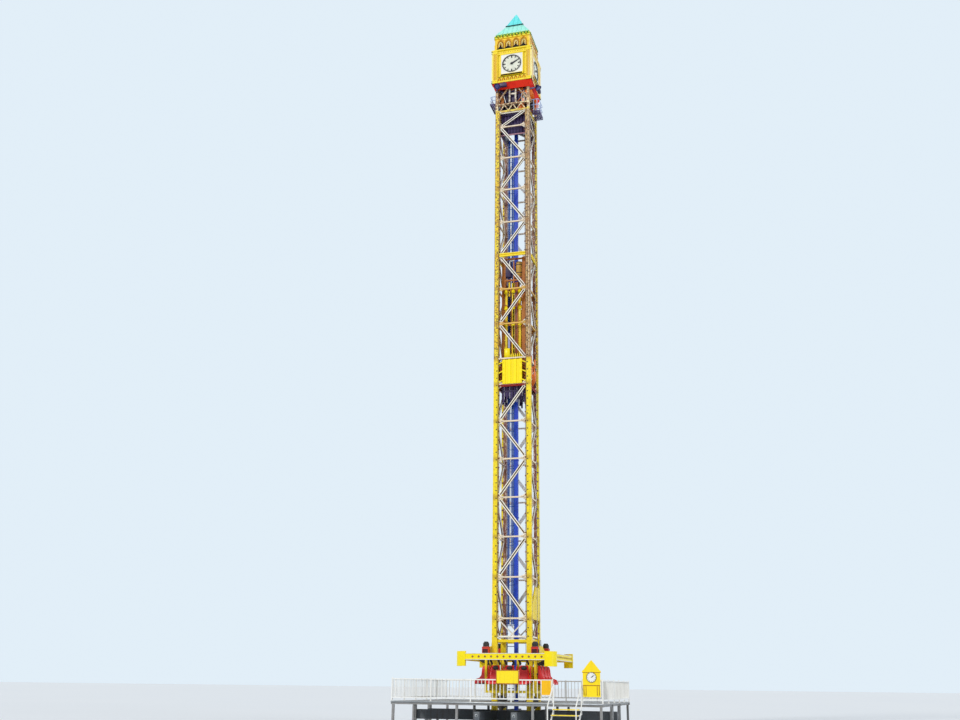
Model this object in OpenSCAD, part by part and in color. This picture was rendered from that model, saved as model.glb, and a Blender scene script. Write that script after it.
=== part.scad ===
// Fairground drop tower dressed as a clock tower, in millimetres.
// +Z is up, the front looks along -Y and +X is to the right.
// The origin is on the ground, under the middle of the mast.

/* [Mast] */
// Outside width of the square mast
mast_w = 1700; // [1500:10:1900]
// Side of each square corner column
column_w = 220; // [160:5:260]
// Height between two level bars
bay_h = 1700; // [1600:10:1750]
// Full bays of the lower section
lower_bays = 6; // [5:1:6]
// Full bays of the upper section
upper_bays = 7; // [6:1:7]
// Height of the joint bay between the sections
joint_h = 1200; // [1000:10:1400]
// Height of the short bay at the top of the mast
top_bay_h = 800; // [700:10:900]
// Height of the lowest level bar
first_level = 4300; // [4200:10:4500]
// Height of the bolted flange at the foot of the mast
foot_flange_z = 3500; // [3300:10:3700]
// Thickness of the mast flanges
flange_t = 30; // [20:1:40]
// Side of the square level bars
level_bar = 64; // [50:1:80]
// Width of the channel used for the diagonals
diagonal_w = 130; // [100:1:150]
// Depth of that channel
diagonal_t = 60; // [40:1:70]
// Flange width of that channel
diagonal_lip = 36; // [25:1:45]
// Depth of the heavy beam at the top of the inner frame
heavy_beam_h = 170; // [140:5:220]

/* [Inside the mast] */
// Side of the square blue pole on the mast axis
pole_w = 150; // [120:5:180]
// Distance between the ladder stiles
ladder_w = 330; // [300:5:345]
// Distance between the ladder rungs
rung_pitch = 425; // [350:5:500]
// Thickness of the ladder stiles and rungs
ladder_bar = 40; // [30:1:50]
// Outside width of the inner frame
inner_w = 1120; // [1000:10:1150]
// Width of the posts of the inner frame
inner_post = 90; // [70:5:110]
// Diameter of the hoist rope
rope_d = 22; // [16:1:28]
// Diameter of the rope sheaves, at the middle of the rope
sheave_d = 500; // [460:10:520]
// Gap between the mast face and the outer rope run
rope_gap = 58; // [50:1:65]

/* [Head and clock house] */
// Height of the machinery bay over the mast
head_h = 1550; // [1400:10:1700]
// Width of the clock house, over its corner pilasters
house_w = 2040; // [1900:10:2200]
// Height of the clock house
house_h = 1900; // [1700:10:2000]
// Width of each corner pilaster
pilaster_w = 300; // [240:10:340]
// Side of the white square behind each dial
dial_square = 1150; // [1080:10:1160]
// Radius of the dial
dial_r = 485; // [460:5:500]
// Width of the belfry
belfry_w = 1780; // [1700:10:1860]
// Height of the belfry
belfry_h = 910; // [820:10:1000]
// Openings in each side of the belfry
belfry_arches = 4; // [3:1:5]
// Width over the eaves of the roof
eaves_w = 1740; // [1700:10:1780]
// Height of the roof
roof_h = 1740; // [1500:10:1900]

/* [Passenger car] */
// Height of the car's lower rail over the ground, at rest
car_z = 1330; // [1250:10:1450]
// Height of the car's frame
car_h = 1500; // [1450:10:1650]
// Gap between the mast and the car's frame
car_gap = 140; // [125:5:160]
// Width of the car's frame tubes
car_tube = 90; // [70:5:110]
// Distance from the mast axis to the outside of the canopy ring
canopy_half = 2050; // [1950:10:2150]
// Height of the canopy ring
canopy_h = 260; // [220:10:300]
// How far the ring's lower edge hangs below the top of the car's frame
canopy_drop = 230; // [150:10:240]
// Height of the rounded caps at the corners of the ring
corner_cap_h = 580; // [450:10:650]
// Thickness of the canopy ring
canopy_t = 120; // [100:10:160]
// Corner radius of the canopy ring
canopy_r = 330; // [250:10:400]
// Seats on each side of the car
seats_a_side = 3; // [2:1:3]
// Width of one seat
seat_w = 600; // [560:5:620]
// Height of the seat over the car's lower rail
seat_rise = 330; // [280:10:380]
// Depth of the seat
seat_depth = 520; // [480:10:560]
// Thickness of the seat base and back
seat_t = 90; // [70:5:110]
// Height of the seat's back over its base
seat_back_h = 740; // [680:10:800]
// Clearance between the rollers and the columns
roller_gap = 6; // [5:0.5:8]

/* [Platform] */
// Width of the platform, from left to right
deck_w = 8400; // [8000:50:9000]
// Depth of the platform, from front to rear
deck_d = 7200; // [7000:50:7600]
// Height of the platform over the ground
deck_z = 1000; // [900:10:1100]
// Thickness of the platform and its edge beams
deck_t = 120; // [100:5:160]
// Width of the square hole in the platform, round the mast
deck_hole = 2100; // [2000:10:2300]
// Height of the railings over the platform
fence_h = 850; // [800:10:1000]
// Distance between the railing bars
fence_pitch = 150; // [130:5:200]
// Width of the entry in the front railing
entry_w = 1100; // [1000:10:1150]
// Distance from the platform's right end to the middle of the entry
entry_inset = 1350; // [1300:10:1400]
// Steps up to the platform
step_count = 5; // [4:1:6]
// Depth of one step
step_run = 290; // [260:5:320]

/* [Base] */
// Height of the base beams
base_beam_h = 380; // [300:10:450]
// Width of the base beams
base_beam_w = 240; // [220:10:280]
// Height of the foot plate and jacks under the beams
base_clear = 270; // [240:10:320]
// Side of the square foot plate under the mast
foot_w = 1100; // [900:10:1400]
// Diameter of the jack pads
pad_d = 520; // [450:10:560]

/* [Hidden] */

// Two faces that meet share no sliver: fused bars sink this far into what carries them
bite = 1;
mast_half = mast_w / 2;
column_c = mast_half - column_w / 2;
column_in = mast_half - column_w;
base_top = base_clear + base_beam_h;
joint_bottom = first_level + lower_bays * bay_h;
joint_top = joint_bottom + joint_h;
short_bay = joint_top + upper_bays * bay_h;
mast_top = short_bay + top_bay_h;
house_z = mast_top + head_h;
belfry_z = house_z + house_h;
roof_z = belfry_z + belfry_h;
inner_top_level = joint_top + 3 * bay_h;
lower_levels = [for (i = [0 : lower_bays]) first_level + i * bay_h];
upper_levels = [for (i = [0 : upper_bays]) joint_top + i * bay_h];

// Ladder beside the pole: its distance from the pole, and from the mast axis
ladder_gap = 30;
ladder_y = 190;

// Hoist rope: both runs and both sheaves
rope_outer_x = mast_half + rope_gap;
rope_inner_x = rope_outer_x - sheave_d;
sheave_x = rope_outer_x - sheave_d / 2;
head_sheave_z = mast_top + head_h * 0.5;
foot_sheave_z = base_top + sheave_d / 2 + 60;

// Machinery bay: legs, bars, the axle's length and the floor
head_leg = 120;
head_bar = 80;
head_c = mast_half - head_leg / 2;
head_top = house_z - 40;
head_axle = 300;
top_plate_t = 30;

// Clock house: the band and the ledge under the dials, and the height of their middle
arcade_h = 320;
arcade_lip = 45;
ledge_h = 90;
sill_z = house_z + arcade_h + arcade_lip + ledge_h - bite;
dial_z = sill_z + dial_square / 2;
wall_half = house_w / 2 - 70;

// Passenger car: inside and outside of its frame, and its top
car_in = mast_half + car_gap;
car_out = car_in + car_tube;
car_top = car_z + car_h;

seat_z = car_z + seat_rise + 20;
seat_top = seat_z + seat_back_h;
row_w = seats_a_side * seat_w;

// Platform legs, base beams that end at them, railing tube
deck_edge = 45;
deck_leg = 90;
beam_reach_x = deck_w / 2 - 2 * deck_edge - deck_leg / 2;
beam_reach_y = deck_d / 2 - 150;
fence_tube = 45;
entry_x = deck_w / 2 - entry_inset;

gold = "#f2c21a";
yellow = "#ffd800";
cream = "#efe3b4";
blue = "#2440c8";
red = "#b3161c";
grey = "#8d9194";
white = "#f4f4f0";
dark = "#2b2b30";
turquoise = "#8fdcc8";

// A box given by its lowest and highest corner
module span(low, high) {
    translate(low) cube(high - low);
}

// A box that stands at a height, with its middle over the origin
module post(size_x, size_y, from_z, to_z) {
    translate([-size_x / 2, -size_y / 2, from_z]) cube([size_x, size_y, to_z - from_z]);
}

// Repeats its children on the front, right, rear and left, or on the sides named
module on_sides(sides = [0 : 3]) {
    for (i = sides) rotate([0, 0, 90 * i]) children();
}

// A channel that leans from one column to the other, in the plane of the front face
module diagonal(low, high, leans_left) {
    run = 2 * column_in;
    rise = high - low;
    lean = atan2(rise, run);
    length = sqrt(run * run + rise * rise) + 2 * diagonal_w;
    side = leans_left ? 1 : -1;
    translate([0, 0, (low + high) / 2])
        rotate([0, side * lean, 0])
        difference() {
            translate([-length / 2, -diagonal_t / 2, -diagonal_w / 2])
                cube([length, diagonal_t, diagonal_w]);
            translate([-length / 2 - bite, -diagonal_t / 2 - bite, -diagonal_w / 2 + diagonal_lip])
                cube([length + 2 * bite, diagonal_t * 0.6, diagonal_w - 2 * diagonal_lip]);
        }
}

// The bars of one side between two levels: the diagonal is cut at the columns
module bracing(low, high, leans_left) {
    intersection() {
        diagonal(low, high, leans_left);
        span([-column_in - bite, -diagonal_t, low], [column_in + bite, diagonal_t, high]);
    }
}

// One level bar between the columns
module level(z, bar = level_bar) {
    span([-column_in - bite, -bar / 2, z - bar / 2], [column_in + bite, bar / 2, z + bar / 2]);
}

// The two columns of a front or rear side, between two heights
module columns(low, high) {
    for (x = [-column_c, column_c]) translate([x, 0, 0]) post(column_w, column_w, low, high);
}

// A plate at the end of each column, where sections are bolted together
module column_flanges(low) {
    lap = column_w + 70;
    for (side = [-1, 1])
        span([side > 0 ? mast_half - lap : -mast_half, -column_w / 2, low],
             [side > 0 ? mast_half : -mast_half + lap, column_w / 2, low + flange_t]);
}

// Short braces in the corners under the lowest level bar
module corner_braces(under, reach) {
    brace = 50;
    for (side = [-1, 1])
        intersection() {
            translate([side * (column_in - reach / 2), 0, under - reach / 2])
                rotate([0, side * -45, 0])
                cube([2 * reach, brace, brace], center = true);
            span([-column_in - bite, -brace, under - reach - brace], [column_in + bite, brace, under]);
        }
}

// Lattice of the lower section on one side; turn is 0 or 1 for where the first diagonal leans
module lower_lattice(turn) {
    for (z = lower_levels) level(z);
    level(foot_flange_z + level_bar);
    for (i = [0 : lower_bays - 1])
        bracing(lower_levels[i], lower_levels[i + 1], (i + turn) % 2 == 0);
    corner_braces(first_level, first_level - foot_flange_z - 2 * level_bar);
}

// Lattice of the upper section on one side
module upper_lattice(turn) {
    level(joint_top + level_bar / 2);
    for (i = [1 : upper_bays]) level(upper_levels[i]);
    level(mast_top - level_bar / 2);
    for (i = [0 : upper_bays - 1])
        bracing(upper_levels[i], upper_levels[i + 1], (i + turn) % 2 == 0);
    bracing(short_bay, mast_top, (upper_bays + turn) % 2 == 0);
}

module lower_side_with_columns(turn) {
    translate([0, -column_c, 0]) {
        columns(foot_flange_z, joint_top);
        column_flanges(foot_flange_z);
        column_flanges(joint_top - flange_t);
        lower_lattice(turn);
    }
}

module upper_side_with_columns(turn) {
    translate([0, -column_c, 0]) {
        columns(joint_top, mast_top);
        column_flanges(joint_top);
        column_flanges(mast_top - flange_t);
        upper_lattice(turn);
    }
}

// The narrow side frames stop at the columns, so they meet them face to face
module side_frame_limits(low, high) {
    intersection() {
        children();
        span([-column_in, -mast_half, low], [column_in, 0, high]);
    }
}

module lower_side(turn) {
    side_frame_limits(foot_flange_z, joint_top)
        translate([0, -column_c, 0]) {
            lower_lattice(turn);
            bracing(joint_bottom, joint_top - flange_t, (lower_bays + turn) % 2 == 0);
            level(joint_top - level_bar / 2);
        }
}

module upper_side(turn) {
    side_frame_limits(joint_top, mast_top) translate([0, -column_c, 0]) upper_lattice(turn);
}

module lower_front() { color(yellow) lower_side_with_columns(0); }
module lower_rear() { color(yellow) rotate([0, 0, 180]) lower_side_with_columns(0); }
module lower_right() { color(cream) rotate([0, 0, 90]) lower_side(1); }
module lower_left() { color(cream) rotate([0, 0, -90]) lower_side(1); }
module upper_front() { color(yellow) upper_side_with_columns(0); }
module upper_rear() { color(yellow) rotate([0, 0, 180]) upper_side_with_columns(0); }
module upper_right() { color(cream) rotate([0, 0, 90]) upper_side(1); }
module upper_left() { color(cream) rotate([0, 0, -90]) upper_side(1); }

// The fixed foot of the mast, from the base beams to the bolted flange
module mast_foot() {
    brace = 110;
    color(yellow) {
        on_sides() {
            for (z = [(base_top + foot_flange_z) / 2, foot_flange_z - brace])
                translate([0, -column_c, 0])
                    span([-column_c, -brace / 2, z - brace / 2], [column_c, brace / 2, z + brace / 2]);
        }
        for (x = [-column_c, column_c], y = [-column_c, column_c])
            translate([x, y, 0]) post(column_w, column_w, base_top, foot_flange_z);
    }
}

// The wide plate on the right side that the mast is lifted by when it is put up
module erection_plate() {
    plate_t = 40;
    plate_z = first_level - level_bar / 2;
    plate_h = 1360;
    rib_in = column_c + level_bar / 2 - mast_half + plate_t;
    pin_d = 180;
    color(yellow)
        translate([mast_half - plate_t, 0, 0]) {
            difference() {
                rotate([90, 0, 90])
                    linear_extrude(plate_t)
                    polygon([[-column_in, plate_z], [column_in, plate_z],
                             [column_in, plate_z + plate_h], [0, plate_z + plate_h],
                             [-column_in, plate_z + plate_h * 0.45]]);
                translate([-bite, column_in * 0.35, plate_z + plate_h * 0.7])
                    rotate([0, 90, 0]) cylinder(d = pin_d, h = plate_t + 2 * bite, $fn = 48);
            }
            for (y = [-0.6, 0, 0.6])
                span([rib_in, y * column_in - 15, plate_z],
                     [bite, y * column_in + 15, plate_z + plate_h * 0.4]);
        }
}

// Ribbed cover over the joint, on the front and the rear
module joint_panels() {
    panel_w = 900;
    panel_h = joint_h - 60;
    sheet_t = 30;
    rib_w = 120;
    rib_t = 34;
    panel_z = joint_bottom + 10;
    inner_y = -column_c - level_bar / 2;
    color(yellow)
        on_sides([0, 2]) {
            span([-panel_w / 2, inner_y - sheet_t, panel_z], [panel_w / 2, inner_y, panel_z + panel_h]);
            for (i = [0 : 3])
                translate([(i - 1.5) * (panel_w - rib_w) / 3, inner_y - sheet_t - rib_t / 2, 0])
                    post(rib_w, rib_t + bite, panel_z, panel_z + panel_h);
            intersection() {
                for (side = [-1, 1], z = [0.12, 0.5, 0.88])
                    translate([side * (panel_w / 2 + column_in) / 2, inner_y - sheet_t / 2,
                               panel_z + z * panel_h])
                        rotate([0, side * 25, 0])
                        cube([2 * (column_in - panel_w / 2), sheet_t, 50], center = true);
                difference() {
                    span([-column_in, inner_y - sheet_t, panel_z], [column_in, inner_y, panel_z + panel_h]);
                    span([-panel_w / 2 + bite, inner_y - sheet_t, panel_z],
                         [panel_w / 2 - bite, inner_y, panel_z + panel_h]);
                }
            }
        }
}

// Dark red floor inside the joint bay
module joint_platform() {
    plate_t = 60;
    rib_t = 40;
    half = column_c - level_bar / 2;
    z = joint_bottom + level_bar / 2;
    color(red)
        difference() {
            union() {
                span([-half, -half, z], [half, half, z + plate_t]);
                for (y = [-0.6, -0.2, 0.2, 0.6])
                    span([-half, y * half - rib_t / 2, z - rib_t], [half, y * half + rib_t / 2, z + bite]);
            }
            column_notches(z - rib_t - bite, z + plate_t + bite);
            inner_openings(z - rib_t - bite, z + plate_t + bite);
        }
}

// Corners cut out of a floor of the mast, for the columns
module column_notches(low, high) {
    for (x = [-1, 1], y = [-1, 1])
        translate([x * column_c, y * column_c, 0]) post(column_w, column_w, low, high);
}

// Room for the pole, the ladder and the rope runs in a floor of the mast
module inner_openings(low, high) {
    room = 20;
    post(pole_w, pole_w, low, high);
    span([-pole_w / 2 - ladder_gap - ladder_w - ladder_bar - room, ladder_y - ladder_bar / 2 - room, low],
         [-pole_w / 2 - ladder_gap + room, ladder_y + ladder_bar / 2 + room, high]);
    for (x = [-1, 1])
        translate([x * rope_inner_x, 0, low]) cylinder(d = rope_d + 2 * room, h = high - low, $fn = 32);
}

// Heavy yellow beams round the mast over the inner frame
module heavy_beam() {
    depth = 120;
    color(yellow)
        on_sides() {
            outer = -column_c - level_bar / 2;
            for (z = [-1, 1])
                span([-column_in, outer - depth * 0.5, inner_top_level + z * heavy_beam_h / 3 - 28],
                     [column_in, outer, inner_top_level + z * heavy_beam_h / 3 + 28]);
            span([-column_in, outer - depth * 0.25, inner_top_level - heavy_beam_h / 3],
                 [column_in, outer, inner_top_level + heavy_beam_h / 3]);
        }
}

// Tall frame of bars inside the mast, between the joint and the heavy beam
module inner_frame() {
    half = inner_w / 2;
    low = joint_bottom + level_bar / 2 + 60;
    high = inner_top_level - level_bar;
    rail = 70;
    second = joint_top + 2 * bay_h;
    rails = [low + rail, second - bay_h, second, second + 500, high - rail];
    color(gold) {
        on_sides() {
            for (x = [-0.42, 0, 0.42])
                translate([x * (inner_w - inner_post), -half + inner_post / 2, 0])
                    post(inner_post * (x == 0 ? 0.6 : 0.8), inner_post * 0.6, low, high);
            for (z = rails)
                translate([0, -half + inner_post / 2, 0])
                    span([-half + inner_post / 2, -inner_post * 0.3, z - rail / 2],
                         [half - inner_post / 2, inner_post * 0.3, z + rail / 2]);
        }
        for (x = [-1, 1], y = [-1, 1])
            translate([x * (half - inner_post / 2), y * (half - inner_post / 2), 0])
                post(inner_post, inner_post, low, high);
    }
}

// Blue pole on the axis of the mast
module blue_pole() {
    collar = 46;
    color(blue) {
        post(pole_w, pole_w, base_top, mast_top - top_bay_h / 2);
        for (z = [foot_flange_z : bay_h * 1.5 : joint_bottom - bay_h])
            post(pole_w + collar, pole_w + collar, z, z + collar);
    }
}

// Blue ladder beside the pole
module ladder() {
    top_gap = 700;
    low = base_top;
    high = mast_top - top_gap;
    rungs = floor((high - low - rung_pitch) / rung_pitch);
    right = -pole_w / 2 - ladder_gap;
    color(blue)
        translate([0, ladder_y, 0]) {
            for (x = [right - ladder_bar / 2, right - ladder_w - ladder_bar / 2])
                translate([x, 0, 0]) post(ladder_bar, ladder_bar, low, high);
            for (i = [1 : rungs])
                translate([right - ladder_w / 2 - ladder_bar / 2, 0, low + i * rung_pitch])
                    rotate([0, 90, 0])
                    cylinder(d = ladder_bar * 0.7, h = ladder_w, center = true, $fn = 12);
        }
}

// One closed loop of rope on each side: up outside the mast and down inside it
module hoist_ropes() {
    color(dark)
        on_sides([0, 2]) {
            for (x = [rope_inner_x, rope_outer_x])
                translate([x, 0, foot_sheave_z])
                    cylinder(d = rope_d, h = head_sheave_z - foot_sheave_z, $fn = 24);
            for (turn = [[head_sheave_z, 90], [foot_sheave_z, -90]])
                translate([sheave_x, 0, turn[0]])
                    rotate([turn[1], 0, 0])
                    rotate_extrude(angle = 180, $fn = 64)
                    translate([sheave_d / 2, 0]) circle(d = rope_d, $fn = 24);
        }
}

// A grooved wheel with a hub, on an axle along Y
module sheave(axle) {
    groove = rope_d + 1;
    width = 90;
    rim = sheave_d / 2 + 24;
    rotate([90, 0, 0]) {
        rotate_extrude($fn = 64)
            difference() {
                translate([30, -width / 2]) square([rim - 30, width]);
                translate([90, 24]) square([sheave_d / 2 - 170, width]);
                translate([90, -24 - width]) square([sheave_d / 2 - 170, width]);
                translate([sheave_d / 2, 0]) circle(d = groove, $fn = 24);
                translate([sheave_d / 2, -groove / 2]) square([rim, groove]);
            }
        cylinder(d = 60 + 2 * bite, h = axle, center = true, $fn = 32);
    }
}

module head_sheaves() {
    color(grey)
        for (x = [-1, 1]) translate([x * sheave_x, 0, head_sheave_z]) sheave(head_axle);
}

module foot_sheaves() {
    cheek_t = 30;
    color(grey)
        for (x = [-1, 1])
            translate([x * sheave_x, 0, foot_sheave_z]) {
                sheave(260);
                for (y = [-1, 1])
                    translate([0, y * (130 - cheek_t / 2 - bite), 0])
                        span([-60, -cheek_t / 2, base_top - foot_sheave_z], [60, cheek_t / 2, 60]);
            }
}

// Dark floor at the top of the mast, with a skirt of sheets that hangs from it inside the columns
module top_platform() {
    plate_t = top_plate_t;
    half = column_c - level_bar / 2;
    z = mast_top - level_bar;
    skirt_half = column_in - 10;
    skirt_t = 20;
    skirt_h = top_bay_h + 350;
    color(dark) {
        difference() {
            post(2 * skirt_half, 2 * skirt_half, z - skirt_h, z + bite);
            post(2 * (skirt_half - skirt_t), 2 * (skirt_half - skirt_t), z - skirt_h - bite, z + 2 * bite);
        }
        difference() {
            post(2 * half, 2 * half, z, z + plate_t);
            column_notches(z - bite, z + plate_t + bite);
            for (x = [-1, 1])
                translate([x * rope_inner_x, 0, z - bite])
                    cylinder(d = rope_d + 60, h = plate_t + 2 * bite, $fn = 32);
        }
    }
}

// Posts and braces of the machinery bay between the mast and the clock house
module head_frame() {
    leg = head_leg;
    bar = head_bar;
    c = head_c;
    low = mast_top;
    top = head_top;
    stud_x = 150;
    zigzags = 6;
    zigzag_w = 2 * column_in / zigzags;
    zigzag_h = head_h * 0.21;
    zigzag_t = 45;
    brace_run = c - stud_x;
    brace_rise = head_h * 0.57;
    color(gold) {
        for (x = [-c, c], y = [-c, c]) translate([x, y, 0]) post(leg, leg, low, top);
        on_sides([0, 2])
            translate([0, -c, 0]) {
                span([-c, -bar / 2, top - bar], [c, bar / 2, top]);
                span([-c, -bar / 2, low], [c, bar / 2, low + bar]);
                for (x = [-stud_x, stud_x]) translate([x, 0, 0]) post(70, bar, low + bar + zigzag_h, top);
                span([-stud_x, -bar / 2, low + head_h * 0.6], [stud_x, bar / 2, low + head_h * 0.6 + 70]);
                span([-c, -bar / 2, low + bar + zigzag_h], [c, bar / 2, low + bar + zigzag_h + 60]);
                for (i = [0 : zigzags - 1])
                    translate([(i - (zigzags - 1) / 2) * zigzag_w, 0, low + bar + zigzag_h / 2])
                        rotate([0, (i % 2 * 2 - 1) * atan2(zigzag_h, zigzag_w), 0])
                        cube([sqrt(zigzag_h * zigzag_h + zigzag_w * zigzag_w), zigzag_t, zigzag_t],
                             center = true);
                for (side = [-1, 1])
                    translate([side * (c + stud_x) / 2, 0, top - bar - brace_rise / 2])
                        rotate([0, side * atan2(brace_rise, brace_run), 0])
                        cube([sqrt(brace_rise * brace_rise + brace_run * brace_run), 60, 60],
                             center = true);
            }
        on_sides([1, 3])
            translate([0, -c, 0]) {
                span([-c, -bar / 2, top - bar], [c, bar / 2, top]);
                span([-c, -bar / 2, low], [c, bar / 2, low + bar]);
            }
        for (y = [-1, 1])
            span([-c, y * (head_axle / 2 + 30) - 30, head_sheave_z - 60],
                 [c, y * (head_axle / 2 + 30) + 30, head_sheave_z + 60]);
        for (x = [-c, c])
            for (y = [[-c, -head_axle / 2], [head_axle / 2, c]])
                span([x - 40, y[0], head_sheave_z - 50], [x + 40, y[1], head_sheave_z + 50]);
    }
}

// Orange gear case on the floor, and two motors that lie on the right side's bars
module head_drive() {
    case_w = 300;
    case_h = 420;
    motor_d = 240;
    motor_h = 300;
    from_side = 470;
    from_front = 330;
    side_motor_d = 340;
    side_motor_h = 520;
    side_motor_y = 430;
    foot_top = head_sheave_z + 100;
    color("#c8641e") {
        translate([mast_half - from_side, -mast_half + from_front, mast_top - level_bar + top_plate_t]) {
            post(case_w, case_w, 0, case_h);
            translate([0, 0, case_h]) cylinder(d = motor_d, h = motor_h, $fn = 48);
            translate([0, 0, case_h + motor_h]) cylinder(d1 = motor_d, d2 = 150, h = 60, $fn = 48);
        }
        for (side = [-1, 1])
            translate([head_c, side * side_motor_y, 0]) {
                post(80, side_motor_h * 0.6, head_sheave_z + 50, foot_top + bite);
                translate([0, 0, foot_top + side_motor_d / 2 - 20])
                    rotate([90, 0, 0])
                    cylinder(d = side_motor_d, h = side_motor_h, center = true, $fn = 64);
            }
    }
}

// A small open floor with a rail on each side of the head, low on the right and high on the left
module service_balconies() {
    color(grey) {
        rotate([0, 0, 90]) balcony(mast_top + 40, 700);
        rotate([0, 0, 270]) balcony(head_sheave_z - 50, 480);
    }
}

// One balcony, drawn on the front, with slots in its floor and a notch for the rope and its sheave
// The left one's rail is lower, because it ends below the valance
module balcony(z, rail_h) {
    floor_t = 50;
    reach = 420;
    length = 900;
    bar = 40;
    slots = 8;
    slot_pitch = (length - 100) / slots;
    notch_half = 70;
    notch_in = rope_outer_x - head_c - head_bar / 2 + notch_half;
    translate([0, -head_c - head_bar / 2, 0]) {
        difference() {
            span([-length / 2, -reach, z], [length / 2, 0, z + floor_t]);
            span([-notch_half, -notch_in, z - bite], [notch_half, bite, z + floor_t + bite]);
            for (i = [0 : slots - 1])
                translate([(i - (slots - 1) / 2) * slot_pitch, 0, 0])
                    span([-slot_pitch / 2 + 12, -reach + 50, z - bite],
                         [slot_pitch / 2 - 12, -50, z + floor_t + bite]);
        }
        for (x = [-length / 2 + bar / 2, length / 2 - bar / 2]) {
            translate([x, -reach + bar / 2, 0]) post(bar, bar, z, z + rail_h);
            for (h = [rail_h / 2, rail_h - bar / 2])
                span([x - bar / 2, -reach, z + h - bar / 2], [x + bar / 2, 0, z + h + bar / 2]);
        }
        for (h = [rail_h / 2, rail_h - bar / 2])
            span([-length / 2, -reach, z + h - bar / 2], [length / 2, -reach + bar, z + h + bar / 2]);
    }
}

// Round lamps outside the foot of the clock house, on arms that rise from the legs
module floodlights() {
    lamp_d = 240;
    lamp_h = 150;
    glass_t = 30;
    arm_w = 50;
    arm_z = head_top - 410;
    lamp_z = head_top - 180;
    // Each lamp: its side, its place along the side and its distance from the mast
    lamps = [[0, -700, 250], [1, -450, 350], [2, -700, 250], [3, -700, 250]];
    color(dark)
        for (lamp = lamps)
            rotate([0, 0, 90 * lamp[0]]) {
                hull() {
                    span([-head_c - arm_w / 2, -mast_half - arm_w, arm_z],
                         [-head_c + arm_w / 2, -mast_half, arm_z + arm_w]);
                    translate([lamp[1], -mast_half - lamp[2] + arm_w, 0])
                        post(arm_w, arm_w, lamp_z + 20, lamp_z + 20 + arm_w);
                }
                translate([lamp[1], -mast_half - lamp[2], lamp_z])
                    rotate([-30, 0, 0]) {
                        cylinder(d1 = lamp_d, d2 = lamp_d * 0.55, h = lamp_h, $fn = 48);
                        translate([0, 0, -glass_t]) cylinder(d = lamp_d, h = glass_t + bite, $fn = 48);
                    }
            }
}

// Red underside of the clock house, with a valance that slopes in towards the legs
module soffit() {
    slab_low = head_top;
    valance_h = 280;
    valance_t = 20;
    top_half = house_w / 2 - 35;
    low_half = mast_half + 30;
    color(red) {
        post(house_w - 60, house_w - 60, slab_low, house_z);
        difference() {
            square_cone(low_half, slab_low - valance_h, top_half, slab_low + bite);
            square_cone(low_half - valance_t, slab_low - valance_h - bite, top_half - valance_t, slab_low);
        }
    }
}

// A band along the front wall, between the pilasters
module wall_band(proud, low, high) {
    end = house_w / 2 - pilaster_w;
    span([-end, -wall_half - proud, low], [end, -wall_half + bite, high]);
}

// The hollow clock house, with bands over and under the dials
module house_walls() {
    wall = 60;
    motif_count = 7;
    motif_pitch = (house_w - 2 * pilaster_w) / motif_count;
    top_band = 250;
    motif_z = house_z + arcade_h * 0.4;
    color(gold) {
        difference() {
            post(2 * wall_half, 2 * wall_half, house_z, belfry_z);
            post(2 * (wall_half - wall), 2 * (wall_half - wall), house_z - bite, belfry_z - wall);
        }
        on_sides() {
            difference() {
                wall_band(40, house_z, house_z + arcade_h);
                for (i = [0 : motif_count - 1])
                    translate([(i - (motif_count - 1) / 2) * motif_pitch, -wall_half - 25, motif_z])
                        rotate([90, 0, 0])
                        linear_extrude(20)
                        arch(motif_pitch * 0.62, arcade_h * 0.5);
            }
            wall_band(45, house_z + arcade_h, house_z + arcade_h + arcade_lip);
            wall_band(60, belfry_z - top_band - 40, belfry_z - top_band);
            wall_band(30, belfry_z - top_band, belfry_z - 60);
            span([-dial_square / 2 - 10, -wall_half - 110, sill_z - ledge_h],
                 [dial_square / 2 + 10, -wall_half + bite, sill_z]);
        }
        post(house_w + 40, house_w + 40, belfry_z - 60, belfry_z);
    }
}

// A pointed arch, as a flat shape that stands on its base line
module arch(width, height) {
    shoulder = height - width * 0.87;
    intersection() {
        translate([-width / 2, 0]) square([width, height]);
        union() {
            translate([-width / 2, 0]) square([width, max(shoulder, 1)]);
            intersection() {
                translate([-width / 2, max(shoulder, 1)]) circle(r = width, $fn = 64);
                translate([width / 2, max(shoulder, 1)]) circle(r = width, $fn = 64);
            }
        }
    }
}

// Fluted pilasters at the four corners of the clock house
module pilasters() {
    flutes = 3;
    flute_r = 28;
    flute_in = flute_r * 0.35;
    flute_low = house_z + 180;
    flute_high = belfry_z - 240;
    half = house_w / 2;
    depth = 70;
    top = belfry_z - 60;
    color(gold)
        on_sides()
            difference() {
                union() {
                    span([half - pilaster_w, -half, house_z], [half, -half + depth, top]);
                    span([half - depth, -half, house_z], [half, -half + pilaster_w, top]);
                }
                for (i = [0 : flutes - 1]) {
                    in = pilaster_w * (i + 0.5) / flutes;
                    for (at = [[half - in, -half - flute_in], [half + flute_in, -half + in]])
                        translate([at.x, at.y, flute_low])
                            cylinder(r = flute_r, h = flute_high - flute_low, $fn = 24);
                }
            }
}

// White squares with a raised ring, one on each side
module dials() {
    plate_t = 40;
    ring_w = 46;
    ring_t = 20;
    color(white)
        on_sides() {
            span([-dial_square / 2, -wall_half - plate_t, dial_z - dial_square / 2],
                 [dial_square / 2, -wall_half, dial_z + dial_square / 2]);
            translate([0, -wall_half - plate_t + bite, dial_z])
                rotate([90, 0, 0])
                difference() {
                    cylinder(r = dial_r, h = ring_t + bite, $fn = 96);
                    translate([0, 0, -bite]) cylinder(r = dial_r - ring_w, h = ring_t + 3 * bite, $fn = 96);
                }
        }
}

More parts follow.
